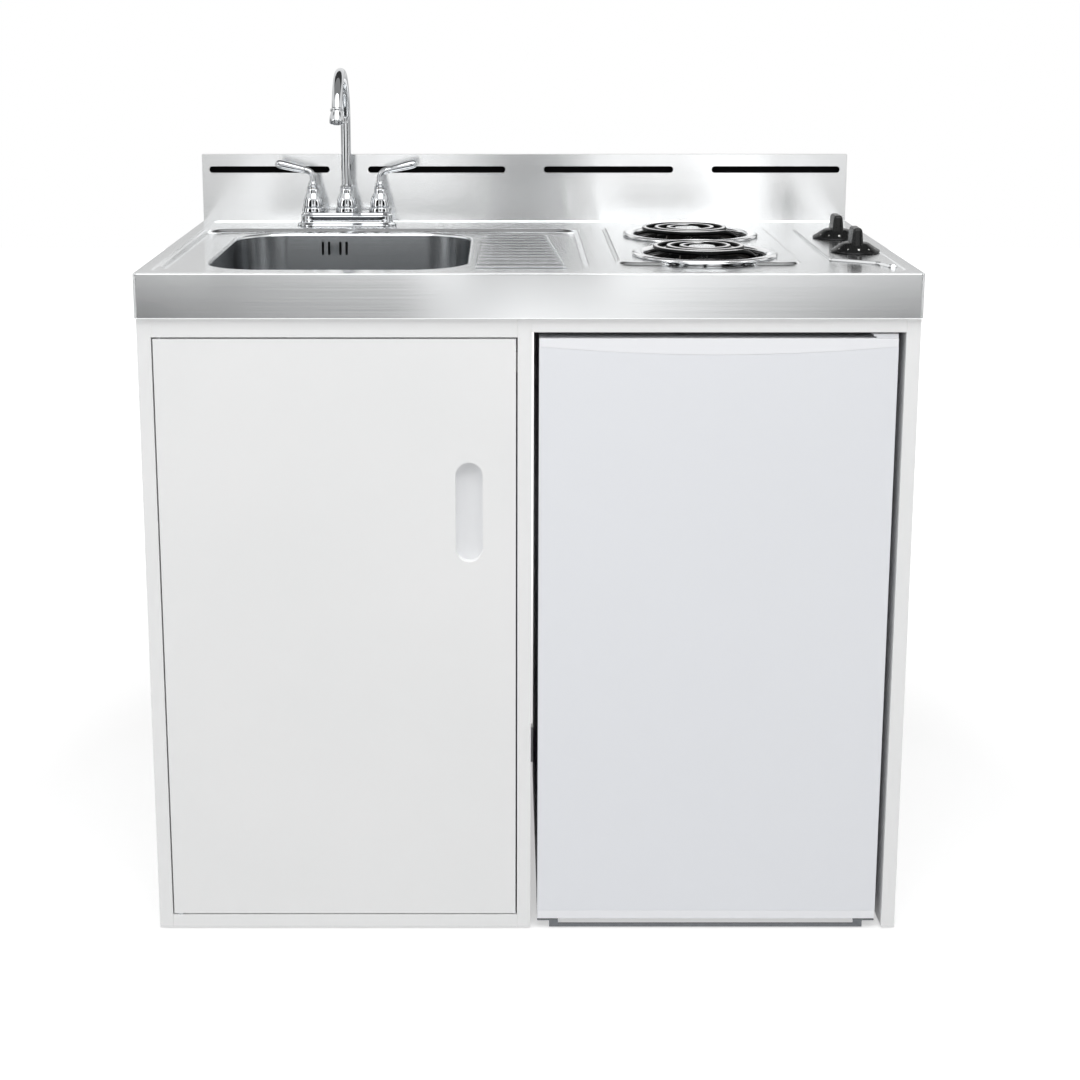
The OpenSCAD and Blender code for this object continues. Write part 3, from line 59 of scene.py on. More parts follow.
# ---- Studio ----
# A pale floor and a white surround, with one big softbox overhead and a weaker one at each side.
# The floor shows white to the camera and keeps the unit's shadow.
def link_colour(code):
    """The linear colour of an sRGB hex code."""
    steps = [int(code[i:i + 2], 16) / 255 for i in (1, 3, 5)]
    return [s / 12.92 if s <= 0.04045 else ((s + 0.055) / 1.055) ** 2.4 for s in steps] + [1.0]


def add(owner, kind, inputs=(), **settings):
    """Adds a shader node to a material or world, with its settings and its inputs' values or links."""
    node = owner.node_tree.nodes.new("ShaderNode" + kind)
    for name, value in settings.items():
        setattr(node, name, value)
    for name, value in dict(inputs).items():
        if isinstance(value, tuple) and isinstance(value[0], bpy.types.Node):
            owner.node_tree.links.new(value[0].outputs[value[1]], node.inputs[name])
        else:
            node.inputs[name].default_value = value
    return node


def blank(name):
    """A new material with an empty node tree."""
    made = bpy.data.materials.new(name)
    made.use_nodes = True
    made.node_tree.nodes.clear()
    return made


def looked_at(owner):
    """1 where the camera, a reflection or a clear material looks, and 0 where light bounces."""
    rays = add(owner, "LightPath")
    seen = add(owner, "Math", {0: (rays, "Is Camera Ray"), 1: (rays, "Is Glossy Ray")}, operation="MAXIMUM")
    return add(owner, "Math", {0: (seen, "Value"), 1: (rays, "Is Transmission Ray")}, operation="MAXIMUM")


# Matt white paper: it takes the unit's soft shadow, and is lit up evenly to white further out.
paper = blank("white_floor_paper")
seen = looked_at(paper)
glow = add(paper, "Emission", {"Color": (1, 1, 1, 1), "Strength": (seen, "Value")})
place = add(paper, "TexCoord")
away = add(paper, "VectorMath", {0: (place, "Object")}, operation="LENGTH")
share = add(paper, "MapRange", {"Value": (away, "Value"), "From Min": 0.8, "From Max": 2.2, "To Min": 0.5,
    "To Max": 1.0})
dim = add(paper, "MixShader", {"Fac": (share, "Result"), 2: (glow, "Emission")})
matt = add(paper, "BsdfDiffuse", {"Color": link_colour("#D4D4D4")})
both = add(paper, "AddShader", {0: (dim, "Shader"), 1: (matt, "BSDF")})
add(paper, "OutputMaterial", {"Surface": (both, "Shader")})

sheet = bmesh.new()
bmesh.ops.create_grid(sheet, x_segments=1, y_segments=1, size=7)
floor_mesh = bpy.data.meshes.new("floor")
sheet.to_mesh(floor_mesh)
sheet.free()
floor_mesh.materials.append(paper)
floor = bpy.data.objects.new("floor", floor_mesh)
bpy.context.scene.collection.objects.link(floor)

surround = bpy.data.worlds.new("white_surround")
bpy.context.scene.world = surround
surround.use_nodes = True
surround.node_tree.nodes.clear()
level = add(surround, "MapRange", {"Value": (looked_at(surround), "Value"), "To Min": 0.5, "To Max": 1.0})
white = add(surround, "Background", {"Color": (1, 1, 1, 1), "Strength": (level, "Result")})
add(surround, "OutputWorld", {"Surface": (white, "Background")})


def softbox(name, place, aim, width, height, power):
    """A soft lamp of so many watts, turned to what it is aimed at."""
    lamp = bpy.data.lights.new(name, "AREA")
    lamp.shape, lamp.size, lamp.size_y, lamp.energy = "RECTANGLE", width, height, power
    holder = bpy.data.objects.new(name, lamp)
    holder.location = place
    holder.rotation_euler = (Vector(aim) - Vector(place)).to_track_quat("-Z", "Y").to_euler()
    bpy.context.scene.collection.objects.link(holder)


softbox("softbox_top", (0.1, -1.5, 3.1), (0, 0, 0.7), 2.6, 1.8, 46)
softbox("softbox_left", (-3.0, -2.2, 1.6), (0, 0, 0.6), 1.6, 2.2, 26)
softbox("softbox_right", (3.0, -2.4, 1.5), (0, 0, 0.6), 1.6, 2.2, 18)


def reflector(name, at, width, height, tones, turn=0, tilt=90):
    """A studio card that only polished metal shows. Its tone is one level, or runs along it in
    (metres, level) pairs."""
    if not isinstance(tones, list):
        tones = [(0, tones), (1, tones)]
    start, end, brightest = tones[0][0], tones[-1][0] + 0.001, 2.0
    tint = blank(name)
    place = add(tint, "TexCoord")
    along = add(tint, "SeparateXYZ", {"Vector": (place, "Object")})
    share = add(tint, "MapRange", {"Value": (along, "X"), "From Min": start, "From Max": end})
    fade = add(tint, "ValToRGB", {"Fac": (share, "Result")})
    steps = fade.color_ramp.elements
    for index, (metres, level) in enumerate(tones):
        step = steps[index] if index < 2 else steps.new(1.0)
        step.position = (metres - start) / (end - start)
        step.color = [level / brightest] * 3 + [1]
    glow = add(tint, "Emission", {"Color": (fade, "Color"), "Strength": brightest})
    add(tint, "OutputMaterial", {"Surface": (glow, "Emission")})
    panel = bmesh.new()
    bmesh.ops.create_grid(panel, x_segments=1, y_segments=1, size=0.5, matrix=Matrix.Translation(at)
        @ Matrix.Rotation(radians(turn), 4, "Z") @ Matrix.Rotation(radians(tilt), 4, "X")
        @ Matrix.Diagonal((width, height, 1, 1)))
    card_mesh = bpy.data.meshes.new(name)
    panel.to_mesh(card_mesh)
    panel.free()
    card_mesh.materials.append(tint)
    card = bpy.data.objects.new(name, card_mesh)
    card.visible_camera = card.visible_diffuse = card.visible_shadow = card.visible_transmission = False
    bpy.context.scene.collection.objects.link(card)


# In front: a low card that shades the apron from grey at its ends to white right of the middle, and
# a bright one further off. The black ones before it give the upstand its soft grey band, and the
# bowl, the tap and the ends of the unit their dark tones.
black = 0.0
reflector("card_low", (0, -2.3, 0.3), 2.8, 0.6, [(-1.0, 0.0), (-0.84, 0.02), (-0.61, 0.27), (-0.27, 0.27),
    (0.0, 1.4), (0.15, 1.25), (0.35, 0.74), (0.53, 0.46), (0.76, 0.22), (0.87, 0.16), (1.2, 0.08)])
reflector("card_gap", (0.05, -2.6, 1.35), 0.34, 1.5, black)
reflector("card_bowl", (-0.31, -2.64, 1.8), 0.42, 0.9, black)
reflector("card_tap", (-0.5, -2.62, 0.575), 0.52, 0.07, black)
reflector("card_white", (0.1, -3.3, 1.35), 2.6, 1.4, [(-1.2, 0.6), (-0.9, 0.9), (-0.4, 1.95), (0.1, 1.95),
    (0.4, 1.75), (0.8, 1.5), (1.1, 1.0), (1.4, 0.9)])
reflector("card_black_left", (-2.55, -2.2, 1.4), 2.8, 1.6, black)
reflector("card_black_right", (2.5, -2.2, 1.4), 2.7, 1.6, black)
# Overhead, behind the softbox: a grey ceiling for the flats, and a dark one further back, which
# draws the lines along the pressed edges and ribs.
reflector("card_ceiling", (0, 0.25, 3.0), 5.0, 1.5, 0.34, tilt=0)
reflector("card_ceiling_rear", (0, 1.9, 3.0), 5.0, 1.8, 0.06, tilt=0)
# At the sides: black strips, which draw the dark lines down the chrome, over low grey cards that
# keep the side aprons grey. A grey card stands behind the unit too.
for side, across in (("left", -1.9), ("right", 1.9)):
    reflector("card_strip_front_" + side, (across, -0.35, 1.05), 0.4, 1.0, black, turn=90)
    reflector("card_strip_rear_" + side, (across, 0.75, 1.05), 0.6, 1.0, black, turn=90)
    reflector("card_low_" + side, (across * 1.06, 0.5, 0.27), 3.4, 0.54, 0.5, turn=90)
    reflector("card_corner_" + side, (across * 1.3, -2.0, 0.3), 1.8, 0.6, 0.4)
reflector("card_behind", (0, 2.7, 0.75), 4.4, 1.5, [(-2, 0.5), (0, 0.72), (2, 0.5)])


# ---- Cabinet ----
# Chipboard panels faced with off-white melamine foil, butted and dowelled together: two sides,
# a panel between the cupboard and the refrigerator's bay, a floor and rails.
def coat(node, material, edge=0.0):
    """Gives a CAD part its material, and softens its edges by so many millimetres."""
    part = parts[node]
    part.data.materials.clear()
    part.data.materials.append(material)
    if edge:
        weld = part.modifiers.new("join", "WELD")
        weld.merge_threshold = 0.00002
        rounded = part.modifiers.new("edge", "BEVEL")
        rounded.width, rounded.segments = edge * 0.001, 2
        rounded.limit_method, rounded.angle_limit = "ANGLE", radians(40)
        rounded.harden_normals = True


# Melamine: smooth and slightly soft in its gloss, with the faint unevenness of pressed foil.
melamine = blank("off_white_melamine_foil")
place = add(melamine, "TexCoord")
cloud = add(melamine, "TexNoise", {"Vector": (place, "Object"), "Scale": 4.0, "Detail": 2.0})
tone = add(melamine, "MixRGB", {"Fac": (cloud, "Fac"), "Color1": link_colour("#E9EAEA"),
    "Color2": link_colour("#EFEFEF")})
peel = add(melamine, "TexNoise", {"Vector": (place, "Object"), "Scale": 420.0, "Detail": 2.0})
gloss = add(melamine, "MapRange", {"Value": (peel, "Fac"), "To Min": 0.36, "To Max": 0.5})
relief = add(melamine, "Bump", {"Height": (peel, "Fac"), "Strength": 0.05, "Distance": 0.0004})
shell = add(melamine, "BsdfPrincipled", {"Base Color": (tone, "Color"), "Roughness": (gloss, "Result"),
    "Normal": (relief, "Normal"), "IOR": 1.5})
add(melamine, "OutputMaterial", {"Surface": (shell, "BSDF")})
for panel in ("side_panels", "centre_panel", "cabinet_floor", "front_rails", "rear_rails"):
    coat(panel, melamine, 0.5)

# The back of the cupboard: a thin hardboard sheet with a white face, let in between the panels.
# Lacquered hardboard: a soft sheen over a fine, felted grain.
hardboard = blank("white_lacquered_hardboard")
place = add(hardboard, "TexCoord")
fibres = add(hardboard, "TexNoise", {"Vector": (place, "Object"), "Scale": 260.0, "Detail": 4.0})
tone = add(hardboard, "MixRGB", {"Fac": (fibres, "Fac"), "Color1": link_colour("#D9D9D5"),
    "Color2": link_colour("#E4E4E1")})
relief = add(hardboard, "Bump", {"Height": (fibres, "Fac"), "Strength": 0.12, "Distance": 0.0004})
face = add(hardboard, "BsdfPrincipled", {"Base Color": (tone, "Color"), "Roughness": 0.6,
    "Normal": (relief, "Normal")})
add(hardboard, "OutputMaterial", {"Surface": (face, "BSDF")})
coat("back_panel", hardboard)


def grained(name, colour, scale, gloss, relief=None, detail=2.0, more=()):
    """A material of one colour, whose roughness varies between two values with a grain of so many
    to the metre. Its relief, if any, is the grain's strength and its depth in metres."""
    made = blank(name)
    place = add(made, "TexCoord")
    grain = add(made, "TexNoise", {"Vector": (place, "Object"), "Scale": scale, "Detail": detail})
    rough = add(made, "MapRange", {"Value": (grain, "Fac"), "To Min": gloss[0], "To Max": gloss[1]})
    inputs = {"Base Color": link_colour(colour), "Roughness": (rough, "Result"), **dict(more)}
    if relief:
        bump = add(made, "Bump", {"Height": (grain, "Fac"), "Strength": relief[0], "Distance": relief[1]})
        inputs["Normal"] = (bump, "Normal")
    skin = add(made, "BsdfPrincipled", inputs)
    add(made, "OutputMaterial", {"Surface": (skin, "BSDF")})
    return made


# The glides under the panels, nailed in. Moulded nylon: matt, dark, with a fine grain.
nylon = grained("black_moulded_nylon", "#1D1E1F", 900.0, (0.42, 0.6), relief=(0.2, 0.0003))
coat("cabinet_glides", nylon, 0.6)


# ---- Cupboard door ----
# One melamine board, hung on two pins and held by a magnetic catch, with a moulded cup let into
# its face for the fingers.
coat("cabinet_door", melamine, 0.7)


def round_corners(mesh, corners, radius, steps):
    """Rounds the corners of a flat face."""
    bmesh.ops.bevel(mesh, geom=corners, offset=radius, offset_type="OFFSET", affect="VERTICES",
        segments=steps, profile=0.5, material=-1)


def outline(mesh, x0, x1, y0, y1, radius, z, steps=8):
    """A level rectangle with rounded corners, as one face."""
    known = set(mesh.faces)
    corners = bmesh.ops.create_grid(mesh, x_segments=1, y_segments=1, size=0.5,
        matrix=Matrix.Translation(((x0 + x1) / 2, (y0 + y1) / 2, z))
        @ Matrix.Diagonal((x1 - x0, y1 - y0, 1, 1)))["verts"]
    round_corners(mesh, corners, radius, steps)
    return (set(mesh.faces) - known).pop()


def press(mesh, face, steps):
    """Draws a face inwards and down or up, step by step, and returns the face left in the middle."""
    for inward, rise in steps:
        bmesh.ops.inset_region(mesh, faces=[face], thickness=inward, depth=rise, use_even_offset=True)
    return face


def open_up(mesh, face):
    """Takes a face out and returns its edges."""
    rim = list(face.edges)
    bmesh.ops.delete(mesh, geom=[face], context="FACES_ONLY")
    return rim


def make(name, mesh, material, body, slot, *nodes, crease=35, turn=None):
    """Makes a mesh drawn in millimetres a named piece of the unit that rides on its body."""
    bmesh.ops.remove_doubles(mesh, verts=mesh.verts, dist=0.001)
    bmesh.ops.recalc_face_normals(mesh, faces=mesh.faces)
    if turn:
        bmesh.ops.reverse_faces(mesh, faces=mesh.faces)
    mesh.edges.index_update()
    rims = [edge.index for edge in mesh.edges if edge.is_boundary]
    shape = bpy.data.meshes.new(name)
    mesh.to_mesh(shape)
    mesh.free()
    shape.transform(Matrix.Scale(0.001, 4))
    shape.materials.append(material)
    shape.shade_smooth()
    shape.set_sharp_from_angle(angle=radians(crease))
    for rim in rims:
        shape.edges[rim].use_edge_sharp = True
    piece = bpy.data.objects.new(name, shape)
    bpy.context.scene.collection.objects.link(piece)
    if nodes:
        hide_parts(*nodes)
    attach(piece, body)
    return piece


def level_faces(piece):
    """Keeps a pressed piece's wide faces flat, so that only its folds and curves turn the light."""
    even = piece.modifiers.new("even", "WEIGHTED_NORMAL")
    even.weight, even.keep_sharp = 90, True


def stand(mesh, x, y, z):
    """Stands what is drawn lying down up, with its face to the front, at a place."""
    upright = Matrix.Translation((x, y, z)) @ Matrix.Rotation(pi / 2, 4, "X")
    bmesh.ops.transform(mesh, matrix=upright, verts=mesh.verts)


# The cup's lip overlaps the door's cut-out all round.
pull_x, pull_z, pull_w, pull_h, pull_lip, door_face = -75.8, 579, 35, 132, 1.3, -298.8
cup = bmesh.new()
lip = outline(cup, -pull_w / 2 - pull_lip, pull_w / 2 + pull_lip, -pull_h / 2 - pull_lip,
    pull_h / 2 + pull_lip, 18.7, 0)
cup_floor = press(cup, lip, [(0.25, 0.35), (0.35, 0.2), (0.5, 0.04), (0.5, -0.04), (0.5, -0.25), (0.4, -0.6),
    (0.2, -1.2), (0.3, -7.2), (0.3, -1.2), (0.7, -1.2), (1.0, -0.9), (1.3, -0.55), (1.4, -0.2)])
press(cup, cup_floor, [(4, 0)])
stand(cup, pull_x, door_face, pull_z)
# Moulded ABS: pale grey, satin, with the fine texture of a spark-eroded mould.
pull_abs = grained("pale_grey_moulded_abs", "#EBECEE", 1100.0, (0.36, 0.5), relief=(0.12, 0.0002))
level_faces(make("finger_cup", cup, pull_abs, "cabinet_door", "pull_plastic", "door_pull_cup"))

# The pins and the strike plate are zinc-plated steel: grey, cloudy in tone and softly bright.
zinc = blank("zinc_plated_steel")
place = add(zinc, "TexCoord")
spangle = add(zinc, "TexVoronoi", {"Vector": (place, "Object"), "Scale": 160.0})
tone = add(zinc, "MixRGB", {"Fac": (spangle, "Distance"), "Color1": link_colour("#A9ACAF"),
    "Color2": link_colour("#BFC1C3")})
haze = add(zinc, "TexNoise", {"Vector": (place, "Object"), "Scale": 90.0, "Detail": 3.0})
gloss = add(zinc, "MapRange", {"Value": (haze, "Fac"), "To Min": 0.28, "To Max": 0.5})
skin = add(zinc, "BsdfPrincipled", {"Base Color": (tone, "Color"), "Metallic": 1.0,
    "Roughness": (gloss, "Result")})
add(zinc, "OutputMaterial", {"Surface": (skin, "BSDF")})
coat("door_pivot_pins", zinc)
coat("door_strike_plate", zinc, 0.2)

# The catch is white moulded acetal, screwed to the panel: smooth, with a soft gloss.
acetal = grained("white_moulded_acetal", "#E6E6E3", 60.0, (0.26, 0.4), more={"IOR": 1.48})
coat("door_catch", acetal, 0.5)


# ---- Burner box ----
# A folded tray of zinc-plated sheet under the hob. It carries the elements' sockets, the two heat
# switches and the gland through which the supply cable will pass.
coat("burner_box", zinc)
coat("heat_switches", nylon, 0.4)
coat("cable_gland", nylon, 0.4)


# ---- Counter ----
# One sheet of stainless steel 1.1 mm thick, pressed into a rim, a field, a sunken tray with ribs
# and two raised panels, and folded down into the apron.
rim_z, field_z, tray_z, hob_z, foot_z = 889, 887.5, 882.5, 891, 831
front_y, rear_y, half_w = -304.8, 304.8, 495.3
duct_x, duct_half = 247.65, 217.6
burner_x, burners = 235.5, (-139.8, 74.2)
top = bmesh.new()


def stack(mesh, x0, x1, y0, y1, radius, steps, segments):
    """Joins level rounded rectangles, each drawn in by so much at its height, into one wall."""
    rings = []
    for inward, z in steps:
        rings.append(open_up(mesh, outline(mesh, x0 + inward, x1 - inward, y0 + inward, y1 - inward,
            max(radius - inward, 0.4), z, segments)))
        if len(rings) > 1:
            bmesh.ops.bridge_loops(mesh, edges=rings[-2] + rings[-1])
    return rings[-1]


def ring(mesh, radius, x, y, z, segments):
    """A level circle's edges."""
    made = bmesh.ops.create_circle(mesh, segments=segments, radius=radius,
        matrix=Matrix.Translation((x, y, z)))
    return list({edge for vert in made["verts"] for edge in vert.link_edges})


def fill(mesh, edges, normal=(0, 0, 1)):
    """Fills a flat outline and leaves the holes in it open."""
    bmesh.ops.triangle_fill(mesh, edges=edges, use_beauty=True, normal=normal)


def thicken(piece, thickness):
    """Gives a pressed sheet its thickness in millimetres, on the side away from its normals."""
    wall = piece.modifiers.new("sheet", "SOLIDIFY")
    wall.thickness, wall.offset = thickness * 0.001, -1


last = stack(top, -half_w, half_w, front_y, rear_y, 5, [(20, foot_z), (1.6, foot_z), (0.7, foot_z + 0.25),
    (0.2, foot_z + 0.8), (0, foot_z + 1.8), (0, rim_z - 1.9), (0.2, rim_z - 0.9), (0.7, rim_z - 0.3),
    (1.8, rim_z)], 5)
# Two openings under the upstand let warm air up to its vent slots.
ducts = [edge for side in (-1, 1) for edge in open_up(top,
    outline(top, side * duct_x - duct_half, side * duct_x + duct_half, 294.6, 302.3, 3.8, rim_z, 4))]
field = outline(top, -478.3, 478.3, -287.8, 289.1, 21, rim_z, 8)
fill(top, last + ducts + list(field.edges))
field = press(top, field, [(0.5, -0.15), (0.5, -0.32), (0.6, -0.48), (0.6, -0.35), (0.6, -0.2)])
cut_out = open_up(top, field)

# The tray, the hob and the knob panel, which has a cut-off corner at its front left.
tray = outline(top, -474.8, 79.2, -264.3, 196.7, 43.5, field_z, 12)
hob = outline(top, 114, 357, -219.8, 196.2, 29, field_z, 10)
known = set(top.faces)
knob_panel = top.faces.new([top.verts.new((x, y, field_z)) for x, y in
    ((395, -170.8), (453, -208.8), (463, -238.8), (474.5, -238.8), (474.5, 164.2), (395, 164.2))])
knob_panel.normal_update()
if knob_panel.normal.z < 0:
    knob_panel.normal_flip()
round_corners(top, list(knob_panel.verts), 5, 5)
knob_panel = (set(top.faces) - known).pop()
fill(top, cut_out + list(tray.edges) + list(hob.edges) + list(knob_panel.edges))
press(top, knob_panel, [(0.3, 0.2), (0.35, 0.6), (0.4, 0.9), (0.45, 0.8), (0.4, 0.6), (0.3, 0.3), (0.2, 0.1)])
hob = press(top, hob, [(0.8, 0.2), (0.9, 0.6), (1.0, 0.9), (1.0, 0.8), (1.0, 0.6), (0.8, 0.3), (0.5, 0.1)])
cut_out = open_up(top, hob)
for y in burners:
    rings = [ring(top, radius, burner_x, y, hob_z + z, 72) for radius, z in
        ((86, 0), (84.8, -0.3), (84.1, -1), (84, -2.6))]
    for outer, inner in zip(rings, rings[1:]):
        bmesh.ops.bridge_loops(top, edges=outer + inner)
    cut_out += rings[0]
fill(top, cut_out)

tray = press(top, tray, [(1.2, -0.3), (1.2, -0.8), (1.3, -1.2), (1.3, -1.1), (1.3, -0.9), (1.2, -0.5),
    (1.0, -0.2)])
cut_out = open_up(top, tray)
bowl_x, bowl_y, bowl_w, bowl_l, bowl_r, bowl_lip = -251, -19.8, 342, 400, 75, 4
lip = outline(top, bowl_x - bowl_w / 2 - bowl_lip, bowl_x + bowl_w / 2 + bowl_lip,
    bowl_y - bowl_l / 2 - bowl_lip, bowl_y + bowl_l / 2 + bowl_lip, bowl_r + bowl_lip, tray_z, 16)
fill(top, cut_out + list(lip.edges))
open_up(top, press(top, lip, [(0.6, -0.1), (1.0, -0.4), (1.0, -0.9), (0.8, -1.2), (0.6, -1.4)]))

# The drainer's twelve ribs, which grow shorter towards the back.
rib_half, rib_pitch, first_rib = 6.5, 30.4, -200.8
for count in range(12):
    y = first_rib + rib_pitch * count
    x0, x1 = -71 + 9 * count / 11, 51.7 - 18 * count / 11
    rib = outline(top, x0, x1, y - rib_half, y + rib_half, 6.3, tray_z, 5)
    press(top, rib, [(0.25, 0.05), (1.0, 0.42), (1.2, 0.5), (1.2, 0.5), (0.6, 0.22), (0.3, 0.05)])


def brushed(name, low, high, roughness, stretch):
    """Brushed stainless steel: fine lines along X, drawn 1 mm apart where the real ones are 0.1 mm,
    so that they show. They spread each reflection across the lines."""
    steel = blank(name)
    place = add(steel, "TexCoord")
    fine = add(steel, "Mapping", {"Vector": (place, "Object"), "Scale": (2.5, 1000.0, 1000.0)})
    hair = add(steel, "TexNoise", {"Vector": (fine, "Vector"), "Scale": 1.0, "Detail": 3.0})
    wide = add(steel, "Mapping", {"Vector": (place, "Object"), "Scale": (1.2, 30.0, 30.0)})
    bands = add(steel, "TexNoise", {"Vector": (wide, "Vector"), "Scale": 1.0, "Detail": 2.0})
    both = add(steel, "MixRGB", {"Fac": 0.45, "Color1": (hair, "Fac"), "Color2": (bands, "Fac")})
    tone = add(steel, "MixRGB", {"Fac": (both, "Color"), "Color1": link_colour(low),
        "Color2": link_colour(high)})
    gloss = add(steel, "MapRange", {"Value": (hair, "Fac"), "To Min": roughness - 0.03,
        "To Max": roughness + 0.04})
    relief = add(steel, "Bump", {"Height": (hair, "Fac"), "Strength": 0.012, "Distance": 0.0003})
    across = add(steel, "CombineXYZ", {"X": 1.0, "Y": 0.05})
    skin = add(steel, "BsdfPrincipled", {"Base Color": (tone, "Color"), "Metallic": 1.0,
        "Roughness": (gloss, "Result"), "Anisotropic": stretch, "Anisotropic Rotation": 0.25,
        "Tangent": (across, "Vector"), "Normal": (relief, "Normal")})
    add(steel, "OutputMaterial", {"Surface": (skin, "BSDF")})
    return steel


counter_steel = brushed("brushed_stainless_steel", "#E4E6E7", "#EFF0F1", 0.15, 0.75)
pressing = make("counter_pressing", top, counter_steel, "unit", "counter_steel", "countertop")
thicken(pressing, 1.1)
level_faces(pressing)

# The upstand: a folded box of the same steel along the rear edge, with four vent slots. Its brushing
# is coarser, so it shows soft bands of light and no clear reflections.
upstand_steel = brushed("coarse_brushed_stainless_steel", "#E4E5E6", "#F1F2F2", 0.22, 0.85)
coat("backsplash", upstand_steel)
coat("backsplash_returns", upstand_steel)

# A black sheet stands inside the upstand behind the slots, so they look black: painted shade in place of the
# dark inside of the upstand.
slot_shade_sheet = blank("black_slot_shade_sheet")
place = add(slot_shade_sheet, "TexCoord")
fibre = add(slot_shade_sheet, "TexNoise", {"Vector": (place, "Object"), "Scale": 1800.0, "Detail": 4.0})
tone = add(slot_shade_sheet, "MixRGB", {"Fac": (fibre, "Fac"), "Color1": link_colour("#050505"),
    "Color2": link_colour("#141414")})
relief = add(slot_shade_sheet, "Bump", {"Height": (fibre, "Fac"), "Strength": 0.5, "Distance": 0.0005})
skin = add(slot_shade_sheet, "BsdfPrincipled", {"Base Color": (tone, "Color"), "Roughness": 1.0,
    "Normal": (relief, "Normal"), "Specular IOR Level": 0.1})
add(slot_shade_sheet, "OutputMaterial", {"Surface": (skin, "BSDF")})
strip = bmesh.new()
outline(strip, -492, 492, 945, 987, 1.5, 0, 3)
bmesh.ops.solidify(strip, geom=list(strip.faces), thickness=1.2)
stand(strip, 0, 302, 0)
make("upstand_slot_shade_sheet", strip, slot_shade_sheet, "unit", "black_nylon")


# ---- Sink ----
# A deep-drawn stainless bowl welded under the tray. Its flat floor has a pressed dish for the drain,
# and four upright slots beside a screw lead into the overflow box behind its rear wall.
wall_z, floor_z, corner = 768.5, 732.5, 36
bowl = bmesh.new()
last = stack(bowl, bowl_x - bowl_w / 2, bowl_x + bowl_w / 2, bowl_y - bowl_l / 2, bowl_y + bowl_l / 2, bowl_r,
    [(0, 878.5), (0, 874), (0, wall_z)] + [(corner * (1 - cos(radians(9 * k))),
    wall_z - corner * sin(radians(9 * k))) for k in range(1, 11)], 16)
rings = [ring(bowl, radius, bowl_x, bowl_y, floor_z - fall, 64) for radius, fall in
    ((63, 0), (61, 0.3), (59.5, 1.3), (58.3, 2.7), (57.4, 3.7), (56, 4), (45, 4))]
fill(bowl, last + rings[0])
for outer, inner in zip(rings, rings[1:]):
    bmesh.ops.bridge_loops(bowl, edges=outer + inner)

# The flat of the rear wall is opened for the overflow's slots.
rear, overflow_x, overflow_z = bowl_y + bowl_l / 2, -284, 859.5
flat = [f for f in bowl.faces if all(abs(v.co.y - rear) < 0.01 for v in f.verts)]
upper = [f for f in flat if 800 < f.calc_center_median().z < 874]
frame_edges = list(upper[0].edges)
bmesh.ops.delete(bowl, geom=upper, context="FACES_ONLY")
slots = []
for shift in (-17.7, -8.35, 8.35, 17.7):
    slot = bmesh.new()
    outline(slot, -1.85, 1.85, -10, 10, 1.8, 0, 4)
    stand(slot, overflow_x + shift, rear, overflow_z)
    copy = {v: bowl.verts.new(v.co) for v in slot.verts}
    slots += [bowl.edges.new([copy[v] for v in e.verts]) for e in slot.edges]
    slot.free()
fill(bowl, frame_edges + slots, (0, -1, 0))
# The bowl's steel is the counter's, toned much darker: painted shade for the inside of the bowl.
bowl_steel = brushed("drawn_stainless_steel_painted_shade", "#9B9EA0", "#B6B8BA", 0.24, 0.8)
basin = make("drawn_bowl", bowl, bowl_steel, "unit", "bowl_steel", "sink_bowl", turn=True)
thicken(basin, 1.1)
level_faces(basin)

# The drain's flange, basket and tailpiece and the overflow's screw are polished steel.
polished = grained("polished_stainless_steel", "#D2D4D5", 700.0, (0.14, 0.26), detail=3.0,
    more={"Metallic": 1.0})
for fitting in ("drain_body", "drain_basket", "drain_tailpiece"):
    coat(fitting, polished)
coat("drain_locknut", zinc)
# The overflow's box is black moulded nylon and its pipe white acetal. Its screw has a domed head.
coat("overflow_fitting", nylon)
coat("overflow_pipe", acetal)
screw = bmesh.new()
bmesh.ops.create_circle(screw, cap_ends=True, segments=40, radius=6.3)
press(screw, screw.faces[:][0], [(0.02, 0.6), (0.25, 0.5), (0.6, 0.55), (1.0, 0.5), (1.3, 0.3), (1.3, 0.1),
    (0.6, 0.02)])
stand(screw, overflow_x, rear, overflow_z)
make("overflow_screw", screw, polished, "unit", "fitting_steel")


# ---- Tap ----
# A centreset mixer with two levers and a swan-neck spout, of brass under polished chrome. Brass
# valves sit in the base, and brass shanks with locknuts hold it to the counter.
chrome = grained("polished_chrome_plate", "#C9CBCD", 130.0, (0.03, 0.07), relief=(0.03, 0.0005), detail=1.0,
    more={"Metallic": 1.0})
tap_x, tap_y, tap_z, lever_pitch = -270, 245.2, 887.5, 50.8
base = bmesh.new()
last = stack(base, tap_x - 75.3, tap_x + 75.3, tap_y - 28, tap_y + 28, 27.9, [(0.5, 0), (0, 0.5), (0, 1.7),
    (0.5, 2.5), (1.6, 3.0), (3.3, 3.6), (4.8, 4.6), (5.6, 6), (6, 8), (6, 14), (5.6, 14.6), (5.5, 15.4),
    (5.9, 16.1), (7, 16.7), (7.9, 17.5), (8.5, 19), (9.3, 19.8), (10.8, 20)], 14)
fill(base, last)
bmesh.ops.translate(base, vec=(0, 0, tap_z), verts=base.verts)
level_faces(make("mixer_base", base, chrome, "unit", "tap_chrome", "tap_base"))


def turned(mesh, profile, place=Matrix.Identity(4), steps=48):
    """Spins a line of (radius, height) points about its axis, and moves what it made to its place."""
    points = [mesh.verts.new((radius, 0, height)) for radius, height in profile]
    line = [mesh.edges.new(pair) for pair in zip(points, points[1:])]
    bmesh.ops.spin(mesh, geom=points + line, cent=(0, 0, 0), axis=(0, 0, 1), angle=2 * pi, steps=steps,
        use_merge=True)
    whole = set(points)
    queue = list(points)
    while queue:
        for edge in queue.pop().link_edges:
            for vert in edge.verts:
                if vert not in whole:
                    whole.add(vert)
                    queue.append(vert)
    bmesh.ops.transform(mesh, matrix=place, verts=list(whole))


